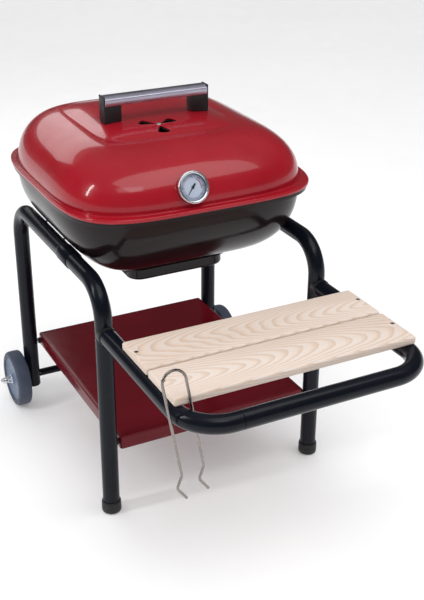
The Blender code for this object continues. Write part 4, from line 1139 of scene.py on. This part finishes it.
def dial_band(inner, outer, start, stop, lift=0.00006, steps=60):
    """A printed arc, as a very thin raised strip."""
    rings = []
    for k in range(steps + 1):
        degrees = start + (stop - start) * k / steps
        rings.append([on_dial(inner, degrees), on_dial(outer, degrees),
                      on_dial(outer, degrees, DIAL_FACE + lift),
                      on_dial(inner, degrees, DIAL_FACE + lift)])
    return skin(rings)


SCALE_START, SCALE_STOP = 222, -42
place(dial_band(0.0213, 0.0279, 0, 360, 0.00003, 120), "dial_outer_band", BAND_GREY, "lid")
place(dial_band(0.0198, 0.0204, SCALE_START - 4, 62), "dial_thin_arc", RED_INK, "lid")
place(dial_band(0.0186, 0.0206, 60, -12), "dial_thick_arc", RED_INK, "lid")
ticks = []
for k in range(31):
    degrees = SCALE_START + (SCALE_STOP - SCALE_START) * k / 30
    long_tick = k % 5 == 0
    half_width = 180 / pi * (0.00034 if long_tick else 0.00018) / 0.027
    ticks.append(dial_band(0.0258 if long_tick else 0.0266, 0.0276, degrees - half_width,
                           degrees + half_width, steps=2))
place(merged(ticks), "dial_ticks", INK, "lid")


def numeral(text, degrees, height, radius):
    """Raised numerals, upright on the dial."""
    curve = bpy.data.curves.new("numeral", "FONT")
    curve.body = text
    curve.size = height
    curve.align_x = "CENTER"
    curve.align_y = "CENTER"
    curve.extrude = 0.00003
    obj = bpy.data.objects.new("numeral", curve)
    bpy.context.scene.collection.objects.link(obj)
    bpy.context.view_layer.update()
    mesh = bpy.data.meshes.new_from_object(obj.evaluated_get(
        bpy.context.evaluated_depsgraph_get()))
    bpy.data.objects.remove(obj)
    bpy.data.curves.remove(curve)
    at = on_dial(radius, degrees, DIAL_FACE + 0.00003)
    matrix = Matrix((DIAL_RIGHT, DIAL_UP, THERMO_AXIS)).transposed().to_4x4()
    matrix.translation = at
    mesh.transform(matrix)
    bm = bmesh.new()
    bm.from_mesh(mesh)
    bpy.data.meshes.remove(mesh)
    return bm


place(merged([numeral(str(50 + 50 * k), SCALE_START + (SCALE_STOP - SCALE_START) * k / 6, 0.0043,
                      0.0235) for k in range(7)]), "dial_numerals", INK, "lid")


def needle():
    """Tapered needle with a round hub and a short wide counterweight."""
    angle = radians(-132)
    along = DIAL_RIGHT * cos(angle) + DIAL_UP * sin(angle)
    across = THERMO_AXIS.cross(along)
    hub = [polar(0.0033, degrees) for degrees in range(20, 146, 14)]
    half = [(0.0215, 0.0004)] + hub + [(-0.0095, 0.0016), (-0.0105, 0.0012)]
    outline = half + [(x, -y) for x, y in reversed(half)]
    return skin([[THERMO_BACK + THERMO_AXIS * h + along * x + across * y for x, y in outline]
                 for h in (0.003, 0.0037)])


place(needle(), "gauge_needle", INK, "needle", "thermometer_needle", slot="needle_paint")


# ---- grate lifter
LIFTER_LEAN = 0.18
LIFTER_OUTER = Vector((-0.2845, -0.463))
LIFTER_INNER = Vector((-0.2338, -0.4532))
LIFTER_R = 0.00275


def lifter_leg(foot, z):
    return Vector((foot.x + LIFTER_LEAN * (LOOP_Z - z), foot.y, z))


def lifter():
    """One bent wire: hooked ends, two long legs and a round arch."""
    knee_z, hook_z, end_z, arch_z = 0.334, 0.307, 0.28, 0.535

    def hooked_end(foot):
        hook = lifter_leg(foot, hook_z) - Vector((0.015, 0, 0))
        corners = [lifter_leg(foot, end_z), hook, lifter_leg(foot, knee_z),
                   lifter_leg(foot, arch_z - 0.004)]
        return [point for point, _ in route(corners, 0.012, 8)]

    left, right = lifter_leg(LIFTER_OUTER, arch_z), lifter_leg(LIFTER_INNER, arch_z)
    centre, half = (left + right) / 2, (right - left) / 2
    rise = Vector((-LIFTER_LEAN, 0, 1)).normalized() * half.length
    arch = [centre - half * cos(pi * k / 32) + rise * sin(pi * k / 32)
            for k in range(33)]
    return wire(hooked_end(LIFTER_OUTER) + arch + list(reversed(hooked_end(LIFTER_INNER))),
                LIFTER_R, 20)


place(lifter(), "lifter_wire", WIRE, "grate_lifter", "grate_lifter", sharp=60)

for side in SIDES:
    paint(f"ash_pan_rail_{side}", BLACK)
    for end in ENDS:
        paint(f"bowl_bolt_{end}_{side}", STEEL)
for node in ("thermometer_probe", "thermometer_nut"):
    paint(node, STEEL)


# ---- floor, lights, world, camera
FLOOR_RADIUS = 30.0
TARGET = Vector((0, 0.1, 0.5))
CAMERA_YAW = -27.328


def towards(azimuth, elevation):
    """The direction from the object; azimuth 0 is the front, growing to the object's right."""
    return Vector((sin(azimuth) * cos(elevation), -cos(azimuth) * cos(elevation), sin(elevation)))


def floor():
    look = Look("studio_floor", 0.55, Specular_IOR_Level=0.25, Emission_Strength=0.13,
                Emission_Color=(1.0, 1.0, 1.0, 1.0))
    look.colour(look.drift(look.noise(1.4), (0.88, 0.88, 0.88), (0.9, 0.9, 0.9)))
    look.roughness(look.noise(9.0), 0.5, 0.62)
    top = FLOOR_Z - 0.0002
    disc = turned([(0, top - 0.02), (FLOOR_RADIUS, top - 0.02), (FLOOR_RADIUS, top), (0, top)],
                  (0, 0, 0), UP)
    solid(disc, "studio_floor", look.material)


def softbox(name, azimuth, elevation, distance, width, height, power):
    """A rectangular light; azimuth is measured from the camera's side of the object, to its right."""
    away = towards(radians(azimuth + CAMERA_YAW), radians(elevation))
    lamp = bpy.data.lights.new(name, "AREA")
    lamp.shape = "RECTANGLE"
    lamp.size, lamp.size_y = width, height
    lamp.energy = power
    obj = bpy.data.objects.new(name, lamp)
    obj.location = TARGET + away * distance
    obj.rotation_euler = away.to_track_quat("Z", "Y").to_euler()
    bpy.context.scene.collection.objects.link(obj)


def studio_world():
    """Bright to the camera and to matt surfaces; in reflections dark low down and lighter overhead."""
    world = bpy.data.worlds.new("studio")
    world.use_nodes = True
    bpy.context.scene.world = world
    tree = world.node_tree
    tree.nodes.clear()
    coord, split, ramp, path, mix, back, out = (tree.nodes.new("ShaderNode" + kind) for kind in (
        "TexCoord", "SeparateXYZ", "ValToRGB", "LightPath", "Mix", "Background", "OutputWorld"))
    mix.data_type = "RGBA"
    tree.links.new(coord.outputs["Generated"], split.inputs[0])
    tree.links.new(split.outputs["Z"], ramp.inputs["Fac"])
    stops = ((0.0, 0.16), (0.15, 0.07), (0.5, 0.07), (0.75, 0.22), (1.0, 0.4))
    elements = ramp.color_ramp.elements
    while len(elements) < len(stops):
        elements.new(0.5)
    for element, (position, grey) in zip(elements, stops):
        element.position = position
        element.color = (grey, grey, grey, 1.0)
    tree.links.new(path.outputs["Is Glossy Ray"], mix.inputs[0])
    mix.inputs[6].default_value = (0.84, 0.84, 0.85, 1.0)
    tree.links.new(ramp.outputs["Color"], mix.inputs[7])
    tree.links.new(mix.outputs[2], back.inputs["Color"])
    tree.links.new(back.outputs["Background"], out.inputs["Surface"])


def camera():
    yaw, elevation, roll = (radians(v) for v in (CAMERA_YAW, 26.193, 0.326))
    back = towards(yaw, elevation)
    right = Vector((cos(yaw), sin(yaw), 0))
    up = back.cross(right)
    tilted = right * cos(roll) + up * sin(roll)
    upright = up * cos(roll) - right * sin(roll)
    lens = bpy.data.cameras.new("photo_angle")
    lens.lens = 63.55
    lens.sensor_width = 36.0
    lens.clip_end = 100.0
    obj = bpy.data.objects.new("photo_angle", lens)
    matrix = Matrix((tilted, upright, back)).transposed().to_4x4()
    matrix.translation = Vector((-0.9605, -1.9321, 1.4987))
    obj.matrix_world = matrix
    bpy.context.scene.collection.objects.link(obj)
    bpy.context.scene.camera = obj


floor()
studio_world()
softbox("overhead_right", 50, 66, 3.0, 2.6, 1.9, 30)
softbox("back_left", -146, 29, 3.2, 2.0, 0.75, 8)
softbox("front_left_strip", -62, 34, 3.0, 0.2, 1.5, 22)
softbox("front_fill", 15, 52, 3.6, 1.6, 0.8, 7)
camera()
bpy.context.scene.view_settings.view_transform = "Standard"
